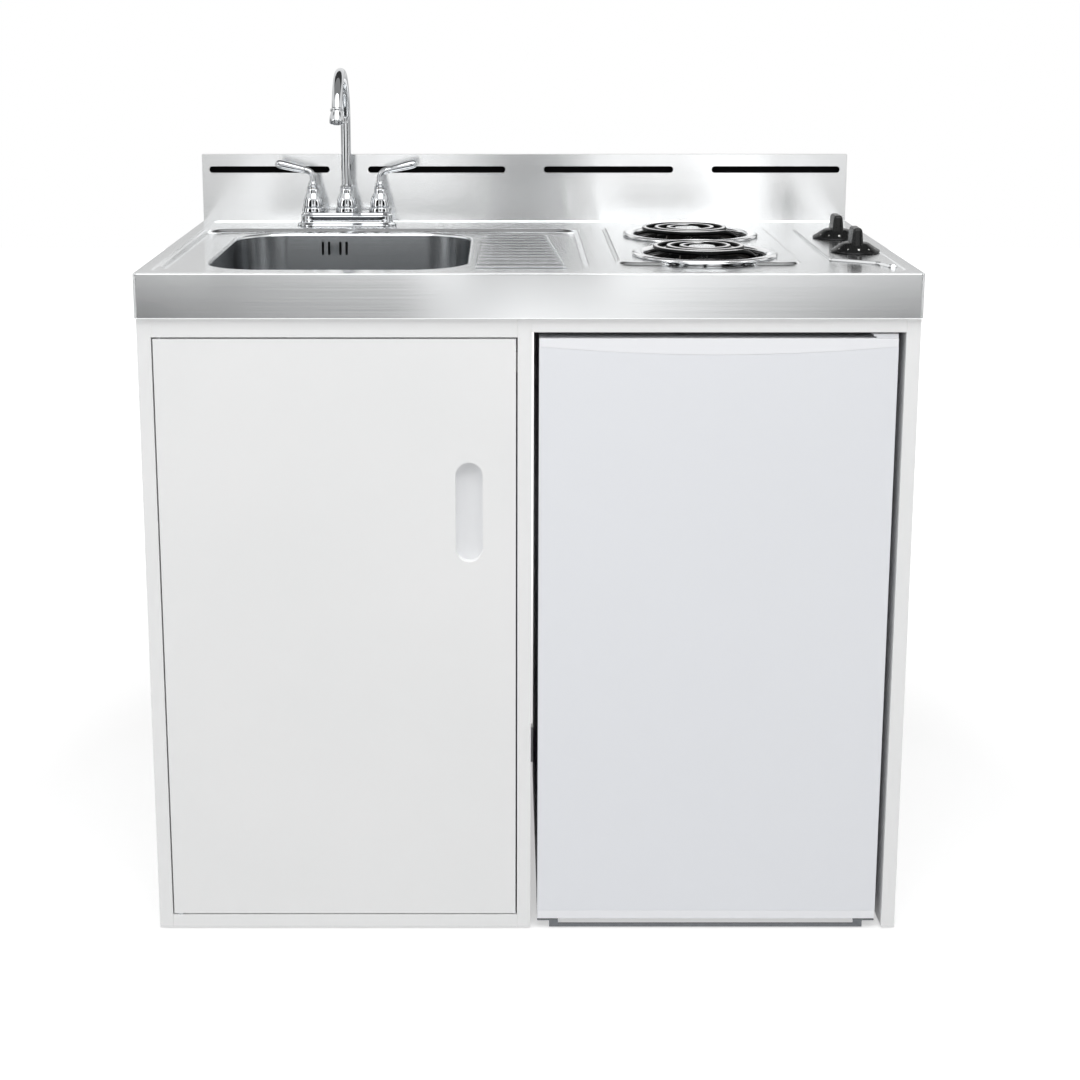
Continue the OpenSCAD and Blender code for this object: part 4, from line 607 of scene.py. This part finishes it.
bonnets = bmesh.new()
for x in (-lever_pitch, 0, lever_pitch):
    turned(bonnets, [(8, 20), (16.6, 20), (17, 20.4), (17, 25.6), (16.6, 26.3), (15.3, 26.8), (14.6, 27.6),
        (14.8, 28.4), (15.4, 29.2), (15.4, 31), (15, 34), (14.2, 38), (13, 42), (11.4, 45.4), (10, 47.6),
        (9.5, 49), (9.6, 54.4), (9.2, 55), (8, 55)], Matrix.Translation((tap_x + x, tap_y, tap_z)))
make("bell_bonnets", bonnets, chrome, "unit", "tap_chrome", "tap_bonnets")

# The spout: a collar, a straight riser and a bend that ends leaning back towards the tap.
tube_r, riser_foot, riser_top, bend_r, bend_turn = 7.5, 61, 153, 77, radians(158)
spout = bmesh.new()
turned(spout, [(7.45, 21), (7.45, 55.4), (9.8, 55.4), (9.85, 56), (9.85, 57.6), (9.2, 58.3), (9.2, 58.9),
    (8.6, 59.4), (tube_r, riser_foot)], Matrix.Translation((tap_x, tap_y, tap_z)))
hoop = bmesh.ops.create_circle(spout, segments=32, radius=tube_r,
    matrix=Matrix.Translation((tap_x, tap_y, tap_z + riser_foot)))["verts"]
hoop = [edge for edge in spout.edges if edge.verts[0] in hoop and edge.verts[1] in hoop]
riser = bmesh.ops.extrude_edge_only(spout, edges=hoop)["geom"]
riser_verts = [g for g in riser if isinstance(g, bmesh.types.BMVert)]
bmesh.ops.translate(spout, vec=(0, 0, riser_top - riser_foot), verts=riser_verts)
bmesh.ops.spin(spout, geom=[g for g in riser if not isinstance(g, bmesh.types.BMFace)],
    cent=(tap_x, tap_y - bend_r, tap_z + riser_top), axis=(1, 0, 0), angle=bend_turn, steps=36)
make("swan_neck", spout, chrome, "tap_spout", "tap_chrome", "tap_spout")

# The aerator: a ring and a flared bell screwed to the spout's end, with a gauze inside.
bell = bmesh.new()
spout_end = (tap_x, tap_y - bend_r + bend_r * cos(bend_turn), tap_z + riser_top + bend_r * sin(bend_turn))
turned(bell, [(7.6, 0.5), (8.7, 0.3), (9.4, -0.6), (9.6, -1.7), (9.3, -2.9), (8.5, -3.7), (8.3, -4.8),
    (8.7, -7), (9.5, -10), (10.2, -13.5), (10.5, -17), (10.5, -19.4), (10.2, -20.3), (9.4, -20.8),
    (8.6, -20.6), (8.4, -19.8), (8.4, -17.5), (0, -17.5)],
    Matrix.Translation(spout_end) @ Matrix.Rotation(bend_turn - pi, 4, "X"))
make("aerator_bell", bell, chrome, "tap_spout", "tap_chrome", "tap_aerator")

# Each lever: two collars over the bonnet, a bent neck, a ferrule and a handle that widens outwards.
neck_r, neck_foot, bend, lean = 4.8, 70.5, 12, radians(76.76)
for lever, side in (("hot_lever", -1), ("cold_lever", 1)):
    handle = bmesh.new()
    turned(handle, [(5.2, 55.3), (8.4, 55.3), (8.85, 55.8), (8.85, 57.6), (8.3, 58.3), (7, 58.9), (6.6, 59.6),
        (6.8, 60.4), (7.35, 61), (7.35, 62.6), (6.8, 63.4), (5.9, 64.2), (5.4, 65.6), (5, 68),
        (neck_r, neck_foot)])
    hoop = bmesh.ops.create_circle(handle, segments=32, radius=neck_r,
        matrix=Matrix.Translation((0, 0, neck_foot)))["verts"]
    bmesh.ops.spin(handle, geom=hoop + list({e for v in hoop for e in v.link_edges}),
        cent=(bend, 0, neck_foot), axis=(0, 1, 0), angle=lean, steps=12)
    turned(handle, [(neck_r, 0), (4.7, 2.2), (5.6, 2.6), (5.95, 3.4), (5.6, 4.2), (4.9, 4.8), (4.9, 5.6),
        (5.2, 10), (5.7, 19), (6.2, 29), (6.5, 37), (6.4, 41), (5.8, 44.2), (4.6, 46.6), (2.6, 48),
        (0, 48.4)],
        Matrix.Translation((bend * (1 - cos(lean)), 0, neck_foot + bend * sin(lean)))
        @ Matrix.Rotation(lean, 4, "Y"))
    bmesh.ops.transform(handle, matrix=Matrix.Translation((tap_x + side * lever_pitch, tap_y, tap_z))
        @ Matrix.Rotation(0 if side > 0 else pi, 4, "Z"), verts=handle.verts)
    make(lever.replace("lever", "handle"), handle, chrome, lever, "tap_chrome", lever)

# Turned brass: warm, with fine rings from the lathe.
brass = blank("turned_brass")
place = add(brass, "TexCoord")
rings = add(brass, "Mapping", {"Vector": (place, "Object"), "Scale": (10.0, 10.0, 1500.0)})
lathe = add(brass, "TexNoise", {"Vector": (rings, "Vector"), "Scale": 1.0, "Detail": 2.0})
gloss = add(brass, "MapRange", {"Value": (lathe, "Fac"), "To Min": 0.2, "To Max": 0.4})
skin = add(brass, "BsdfPrincipled", {"Base Color": link_colour("#C8B07A"), "Metallic": 1.0,
    "Roughness": (gloss, "Result")})
add(brass, "OutputMaterial", {"Surface": (skin, "BSDF")})
coat("tap_valves", brass)
coat("tap_locknuts", zinc)


# ---- Hob ----
# Two plug-in burners: a chromed trim ring over a black enamelled drip bowl, and a coiled heating
# tube on a three-armed support with a bright medallion in the middle.
# Satin chrome: bright, with reflections too soft to make out.
satin = grained("satin_chrome_plate", "#E6E7E8", 700.0, (0.12, 0.18), more={"Metallic": 1.0})
trims = bmesh.new()
for y in burners:
    turned(trims, [(94.4, 0.05), (95.4, 0.3), (96.2, 1), (96.5, 2), (96.3, 3), (95.6, 3.9), (94.4, 4.6),
        (92.8, 4.95), (90.6, 5), (88.2, 4.9), (85.8, 4.5), (83.6, 3.8), (82, 3), (81.2, 2.3), (81, 1.7),
        (81.2, 1.25), (82, 1.2), (82.8, 2), (84.6, 3), (87, 3.7), (90, 4.1), (92.6, 4), (94.4, 3.2), (95, 2),
        (94.8, 0.8), (94.4, 0.05)], Matrix.Translation((burner_x, y, hob_z)), 96)
make("trim_rings", trims, satin, "unit", "ring_chrome", "burner_rings")

# Vitreous enamel: glassy black, with the slight waviness of a fired coat.
enamel = grained("black_vitreous_enamel", "#131414", 90.0, (0.06, 0.14), relief=(0.25, 0.0006),
    more={"IOR": 1.52})


def join(mesh, piece):
    """Adds one mesh to another."""
    carrier = bpy.data.meshes.new("carrier")
    piece.to_mesh(carrier)
    piece.free()
    mesh.from_mesh(carrier)
    bpy.data.meshes.remove(carrier)


# In each bowl's right side, under its flange, is the notch that the element's two legs pass through.
notch_x, notch_half, notch_top, notch_foot = 40, 26, -2, -24
sideways, upwards = Vector((0, 1, 0)), Vector((0, 0, 1))
drips = bmesh.new()
for y in burners:
    dish = bmesh.new()
    turned(dish, [(90, 0.8), (81, 0.8), (80, 0.5), (79.5, -0.4), (79.5, -3.2), (79, -3.8), (78, -4),
        (75.2, -4), (74.2, -4.4), (73.4, -5.4), (71.5, -9), (69, -13.5), (65, -17.6), (58, -22.2),
        (50, -25.8), (41, -29),
        (32, -30.9), (24, -31.2), (14, -31.2), (12.8, -30.6), (12, -31)], steps=96)
    for cut, across in ((notch_half, sideways), (-notch_half, sideways), (notch_top, upwards),
        (notch_foot, upwards)):
        near = [f for f in dish.faces if f.calc_center_median().x > notch_x
            and abs(f.calc_center_median().y) < notch_half + 8]
        bmesh.ops.bisect_plane(dish, geom=near + list({e for f in near for e in f.edges}
            | {v for f in near for v in f.verts}), plane_co=across * cut, plane_no=across)
    notch = [f for f in dish.faces if f.calc_center_median().x > notch_x
        and abs(f.calc_center_median().y) < notch_half and notch_foot < f.calc_center_median().z < notch_top]
    bmesh.ops.delete(dish, geom=notch, context="FACES")
    bmesh.ops.translate(dish, vec=(burner_x, y, hob_z), verts=dish.verts)
    join(drips, dish)
thicken(make("enamelled_drip_bowls", drips, enamel, "unit", "drip_enamel", "drip_bowls"), 0.8)

# Oxidised heating tube: near-black, with its rolled top near-white: partly metal rubbed bright, partly a
# painted highlight.
sheath = blank("oxidised_nickel_alloy")
place = add(sheath, "TexCoord")
scale = add(sheath, "TexNoise", {"Vector": (place, "Object"), "Scale": 300.0, "Detail": 4.0})
height = add(sheath, "SeparateXYZ", {"Vector": (place, "Object")})
# The flat top, found by its height, is painted near-white: partly wear, partly a painted highlight.
rubbed_top_and_highlight = add(sheath, "MapRange", {"Value": (height, "Z"), "From Min": 0.9042, "From Max": 0.9048})
tone = add(sheath, "MixRGB", {"Fac": (rubbed_top_and_highlight, "Result"), "Color1": link_colour("#161717"),
    "Color2": link_colour("#F4F4F4")})
gloss = add(sheath, "MapRange", {"Value": (scale, "Fac"), "To Min": 0.25, "To Max": 0.45})
skin = add(sheath, "BsdfPrincipled", {"Base Color": (tone, "Color"), "Metallic": 0.9,
    "Roughness": (gloss, "Result")})
add(sheath, "OutputMaterial", {"Surface": (skin, "BSDF")})
# Steel sheet that the heat has turned dull and dark.
darkened = blank("heat_darkened_steel")
place = add(darkened, "TexCoord")
blush = add(darkened, "TexNoise", {"Vector": (place, "Object"), "Scale": 110.0, "Detail": 3.0})
tone = add(darkened, "MixRGB", {"Fac": (blush, "Fac"), "Color1": link_colour("#2E2D2C"),
    "Color2": link_colour("#55524F")})
skin = add(darkened, "BsdfPrincipled", {"Base Color": (tone, "Color"), "Metallic": 1.0, "Roughness": 0.42})
add(darkened, "OutputMaterial", {"Surface": (skin, "BSDF")})
coil_z, coil_shift, tube_flat = 902, -4, 2.85
leg_in = [(97, 10, -25), (84, 10, -25), (73, 10.5, -22), (63, 12, -16.5), (53, 15, -12.5), (42, 18, -11.5),
    (31, 21, -11.5), (20, 23, -10), (11, 23, -6), (3, 22.7, -2)]
leg_out = [(45, -49, -1), (54, -40, -4), (61, -31, -9), (65.5, -22.5, -14.5), (69, -15.5, -19),
    (74.5, -11, -22.5), (83, -10, -25), (97, -10, -25)]
spiral = [(coil_shift + (22.5 + 17.3 * a / 360) * cos(radians(90 + a)),
    (22.5 + 17.3 * a / 360) * sin(radians(90 + a)), 0) for a in range(0, 937, 12)]
for end, y in zip(("front", "rear"), burners):
    route = leg_in + spiral + leg_out
    tube = bpy.data.curves.new("heating_tube", "CURVE")
    tube.dimensions, tube.resolution_u = "3D", 3
    tube.bevel_depth, tube.bevel_resolution, tube.use_fill_caps = 3.5, 5, True
    line = tube.splines.new("BEZIER")
    line.bezier_points.add(len(route) - 1)
    for point, at in zip(line.bezier_points, route):
        point.co = at
        point.handle_left_type = point.handle_right_type = "AUTO"
    former = bpy.data.objects.new("heating_tube", tube)
    bpy.context.scene.collection.objects.link(former)
    bpy.context.view_layer.update()
    swept = bpy.data.meshes.new_from_object(former.evaluated_get(bpy.context.evaluated_depsgraph_get()))
    bpy.data.objects.remove(former)
    bpy.data.curves.remove(tube)
    element = bmesh.new()
    element.from_mesh(swept)
    bpy.data.meshes.remove(swept)
    # The tube's top is rolled flat, to carry a pan.
    for vert in element.verts:
        vert.co.z = min(vert.co.z, tube_flat)
    bmesh.ops.translate(element, vec=(burner_x, y, coil_z), verts=element.verts)
    coil = make(end + "_heating_coil", element, sheath, end + "_element", "element_alloy", "coil_" + end)
    level_faces(coil)

    # Its support: a bright domed medallion, and three arms of heat-darkened sheet on edge.
    button = bmesh.new()
    turned(button, [(0, 12.1), (9, 12.2), (13.6, 12.25), (16.2, 12.5), (17.4, 12.2), (18, 11.4), (17.8, 10.2),
        (16.8, 9.6), (8.2, 9.5), (8, 9), (8, -4), (0, -4)])
    bmesh.ops.translate(button, vec=(burner_x + coil_shift, y, hob_z), verts=button.verts)
    make(end + "_medallion", button, polished, end + "_element", "support_steel")
    cradle, arm_thickness = bmesh.new(), 1.5
    for angle, reach in ((0, 64), (120, 74), (240, 73.5)):
        arm = bmesh.new()
        arm.faces.new([arm.verts.new((r, 0, z)) for r, z in ((6, -1.5), (reach - 14, -1.5), (reach - 9, -4),
            (reach, -4), (reach, 0), (reach - 3, 7.4), (6, 7.4))])
        round_corners(arm, list(arm.verts), 1.2, 3)
        bmesh.ops.solidify(arm, geom=list(arm.faces), thickness=arm_thickness)
        bmesh.ops.translate(arm, vec=(0, arm_thickness / 2, 0), verts=arm.verts)
        bmesh.ops.rotate(arm, cent=(0, 0, 0), matrix=Matrix.Rotation(radians(angle), 3, "Z"), verts=arm.verts)
        join(cradle, arm)
    bmesh.ops.translate(cradle, vec=(burner_x + coil_shift, y, hob_z), verts=cradle.verts)
    make(end + "_coil_cradle", cradle, darkened, end + "_element", "support_steel", "coil_support_" + end)

# The sockets that the elements plug into are glazed ceramic blocks on steel pins.
ceramic = blank("glazed_ceramic")
place = add(ceramic, "TexCoord")
speck = add(ceramic, "TexNoise", {"Vector": (place, "Object"), "Scale": 500.0, "Detail": 3.0})
tone = add(ceramic, "MixRGB", {"Fac": (speck, "Fac"), "Color1": link_colour("#D9D4C4"),
    "Color2": link_colour("#EAE6DA")})
skin = add(ceramic, "BsdfPrincipled", {"Base Color": (tone, "Color"), "Roughness": 0.22, "IOR": 1.55})
add(ceramic, "OutputMaterial", {"Surface": (skin, "BSDF")})
coat("socket_front", ceramic, 0.6)
coat("socket_rear", ceramic, 0.6)

# The knobs: black moulded phenolic, satin, pushed onto the switches' shafts.
phenolic = grained("black_moulded_phenolic", "#0C0D0D", 800.0, (0.2, 0.34), relief=(0.06, 0.0002),
    more={"IOR": 1.4})
# White pad-printed ink for the dial's marks: flat and matt.
ink = blank("white_pad_print_ink")
place = add(ink, "TexCoord")
speckle = add(ink, "TexNoise", {"Vector": (place, "Object"), "Scale": 1500.0, "Detail": 1.0})
tone = add(ink, "MixRGB", {"Fac": (speckle, "Fac"), "Color1": link_colour("#C9C9C6"),
    "Color2": link_colour("#EDEDEA")})
skin = add(ink, "BsdfPrincipled", {"Base Color": (tone, "Color"), "Roughness": 0.5})
add(ink, "OutputMaterial", {"Surface": (skin, "BSDF")})
knob_x, panel_z = 441, 891.5
for end, y in (("front", -107.8), ("rear", 49.2)):
    node = "knob_" + end
    foot = (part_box(node)[0][2] - panel_z / 1000) * 1000
    dial = bmesh.new()
    turned(dial, [(0, foot), (2.9, foot), (2.9, -0.2), (31.4, -0.2), (32.5, 0.2), (33, 1.1), (32.8, 2.1),
        (31.6, 3.1), (29, 4.6), (26, 6.4), (22.5, 8.8), (19.5, 10.9), (16.5, 12.4), (12, 13.3), (0, 13.5)],
        steps=72)
    last = stack(dial, -8.6, 8.6, -21, 21, 6.5, [(0, 4), (0.3, 9), (1, 16), (1.7, 23), (2.1, 27.5),
        (2.7, 30.2), (3.7, 31.9), (5.2, 32.8), (6.4, 33)], 7)
    fill(dial, last)
    bmesh.ops.translate(dial, vec=(knob_x, y, panel_z), verts=dial.verts)
    level_faces(make(end + "_dial_knob", dial, phenolic, end + "_knob", "knob_plastic", node))
    # Its marks lie on the skirt's slope, nine of them, and the middle one is larger.
    marks = bmesh.new()
    for turn in range(-120, 121, 30):
        long, wide = (3.4, 2.6) if turn == 0 else (2.4, 0.9)
        bmesh.ops.create_grid(marks, x_segments=1, y_segments=1, size=0.5,
            matrix=Matrix.Translation((knob_x, y, panel_z)) @ Matrix.Rotation(radians(turn), 4, "Z")
            @ Matrix.Translation((0, -27.6, 5.65)) @ Matrix.Rotation(radians(31), 4, "X")
            @ Matrix.Diagonal((wide, long, 1, 1)))
    make(end + "_dial_marks", marks, ink, end + "_knob", "knob_plastic")


# ---- Refrigerator ----
# A separate under-counter refrigerator pushed into the bay: a painted steel shell round foam and a
# formed plastic liner. Its door is a painted pan with a bowed grip strip along the top.
paint = grained("white_baked_enamel_paint", "#E6E8EC", 260.0, (0.28, 0.38), relief=(0.1, 0.0005))
coat("fridge_shell", paint, 0.6)
coat("fridge_door_panel", paint, 0.8)

trim_abs = grained("white_moulded_abs", "#EEEFF2", 900.0, (0.25, 0.4))
for trim in ("fridge_door_trims", "thermostat_housing", "thermostat_knob"):
    coat(trim, trim_abs, 0.8)

# Polyurethane foam: pale yellow, with fine closed cells.
foam = blank("rigid_polyurethane_foam")
place = add(foam, "TexCoord")
cells = add(foam, "TexVoronoi", {"Vector": (place, "Object"), "Scale": 700.0})
tone = add(foam, "MixRGB", {"Fac": (cells, "Distance"), "Color1": link_colour("#D8CC94"),
    "Color2": link_colour("#EFE6BC")})
relief = add(foam, "Bump", {"Height": (cells, "Distance"), "Strength": 0.4, "Distance": 0.0006})
skin = add(foam, "BsdfPrincipled", {"Base Color": (tone, "Color"), "Roughness": 0.9,
    "Normal": (relief, "Normal")})
add(foam, "OutputMaterial", {"Surface": (skin, "BSDF")})
coat("fridge_foam", foam)
coat("fridge_door_foam", foam)

# Vacuum-formed polystyrene: white, glossy, faintly rippled.
liner = grained("white_formed_polystyrene", "#ECEDEF", 40.0, (0.26, 0.34), relief=(0.02, 0.0006),
    more={"IOR": 1.59})
coat("fridge_liner", liner, 1.0)
coat("fridge_door_liner", liner, 1.0)

# The seal: soft grey vinyl.
vinyl = grained("grey_soft_vinyl", "#C9CBCE", 600.0, (0.45, 0.65))
coat("fridge_door_gasket", vinyl, 1.0)

# The bins and the freezer's flap: frosted polystyrene.
frosted = grained("frosted_polystyrene", "#F4F6F8", 500.0, (0.25, 0.45), detail=3.0,
    more={"IOR": 1.59, "Transmission Weight": 0.75})
coat("fridge_door_bins", frosted)
coat("freezer_flap", frosted, 0.8)

# The shelves: steel wire under white plastic.
coated = grained("white_plastic_coated_wire", "#ECEEF0", 200.0, (0.25, 0.4))
coat("fridge_shelves", coated)

# The freezer box: rolled aluminium sheet, satin.
aluminium = blank("satin_rolled_aluminium")
place = add(aluminium, "TexCoord")
rolled = add(aluminium, "Mapping", {"Vector": (place, "Object"), "Scale": (20.0, 900.0, 900.0)})
grain = add(aluminium, "TexNoise", {"Vector": (rolled, "Vector"), "Scale": 1.0, "Detail": 2.0})
gloss = add(aluminium, "MapRange", {"Value": (grain, "Fac"), "To Min": 0.3, "To Max": 0.48})
skin = add(aluminium, "BsdfPrincipled", {"Base Color": link_colour("#C6C9CC"), "Metallic": 1.0,
    "Roughness": (gloss, "Result")})
add(aluminium, "OutputMaterial", {"Surface": (skin, "BSDF")})
coat("freezer_box", aluminium)

# The hinge at the top is under a white plastic cover, and the brackets and the kick strip at the
# foot are dull grey steel. The material tells them apart by their height in metres.
cover_from = 0.4
hinge_metal = blank("dull_zinc_and_white_cover")
place = add(hinge_metal, "TexCoord")
height = add(hinge_metal, "SeparateXYZ", {"Vector": (place, "Object")})
upper = add(hinge_metal, "Math", {0: (height, "Z"), 1: cover_from}, operation="GREATER_THAN")
haze = add(hinge_metal, "TexNoise", {"Vector": (place, "Object"), "Scale": 110.0, "Detail": 3.0})
tone = add(hinge_metal, "MixRGB", {"Fac": (haze, "Fac"), "Color1": link_colour("#64676A"),
    "Color2": link_colour("#7C7F82")})
gloss = add(hinge_metal, "MapRange", {"Value": (haze, "Fac"), "To Min": 0.4, "To Max": 0.55})
dull = add(hinge_metal, "BsdfPrincipled", {"Base Color": (tone, "Color"), "Metallic": 1.0,
    "Roughness": (gloss, "Result")})
cover = add(hinge_metal, "BsdfPrincipled", {"Base Color": link_colour("#E9EAED"), "Roughness": 0.35})
either = add(hinge_metal, "MixShader", {"Fac": (upper, "Value"), 1: (dull, "BSDF"), 2: (cover, "BSDF")})
add(hinge_metal, "OutputMaterial", {"Surface": (either, "Shader")})
coat("fridge_hinges", hinge_metal)
coat("fridge_feet", nylon, 0.5)

# The compressor and condenser: stove-black paint.
black_paint = grained("black_stoving_paint", "#1B1C1D", 300.0, (0.3, 0.5))
coat("cooling_unit", black_paint)
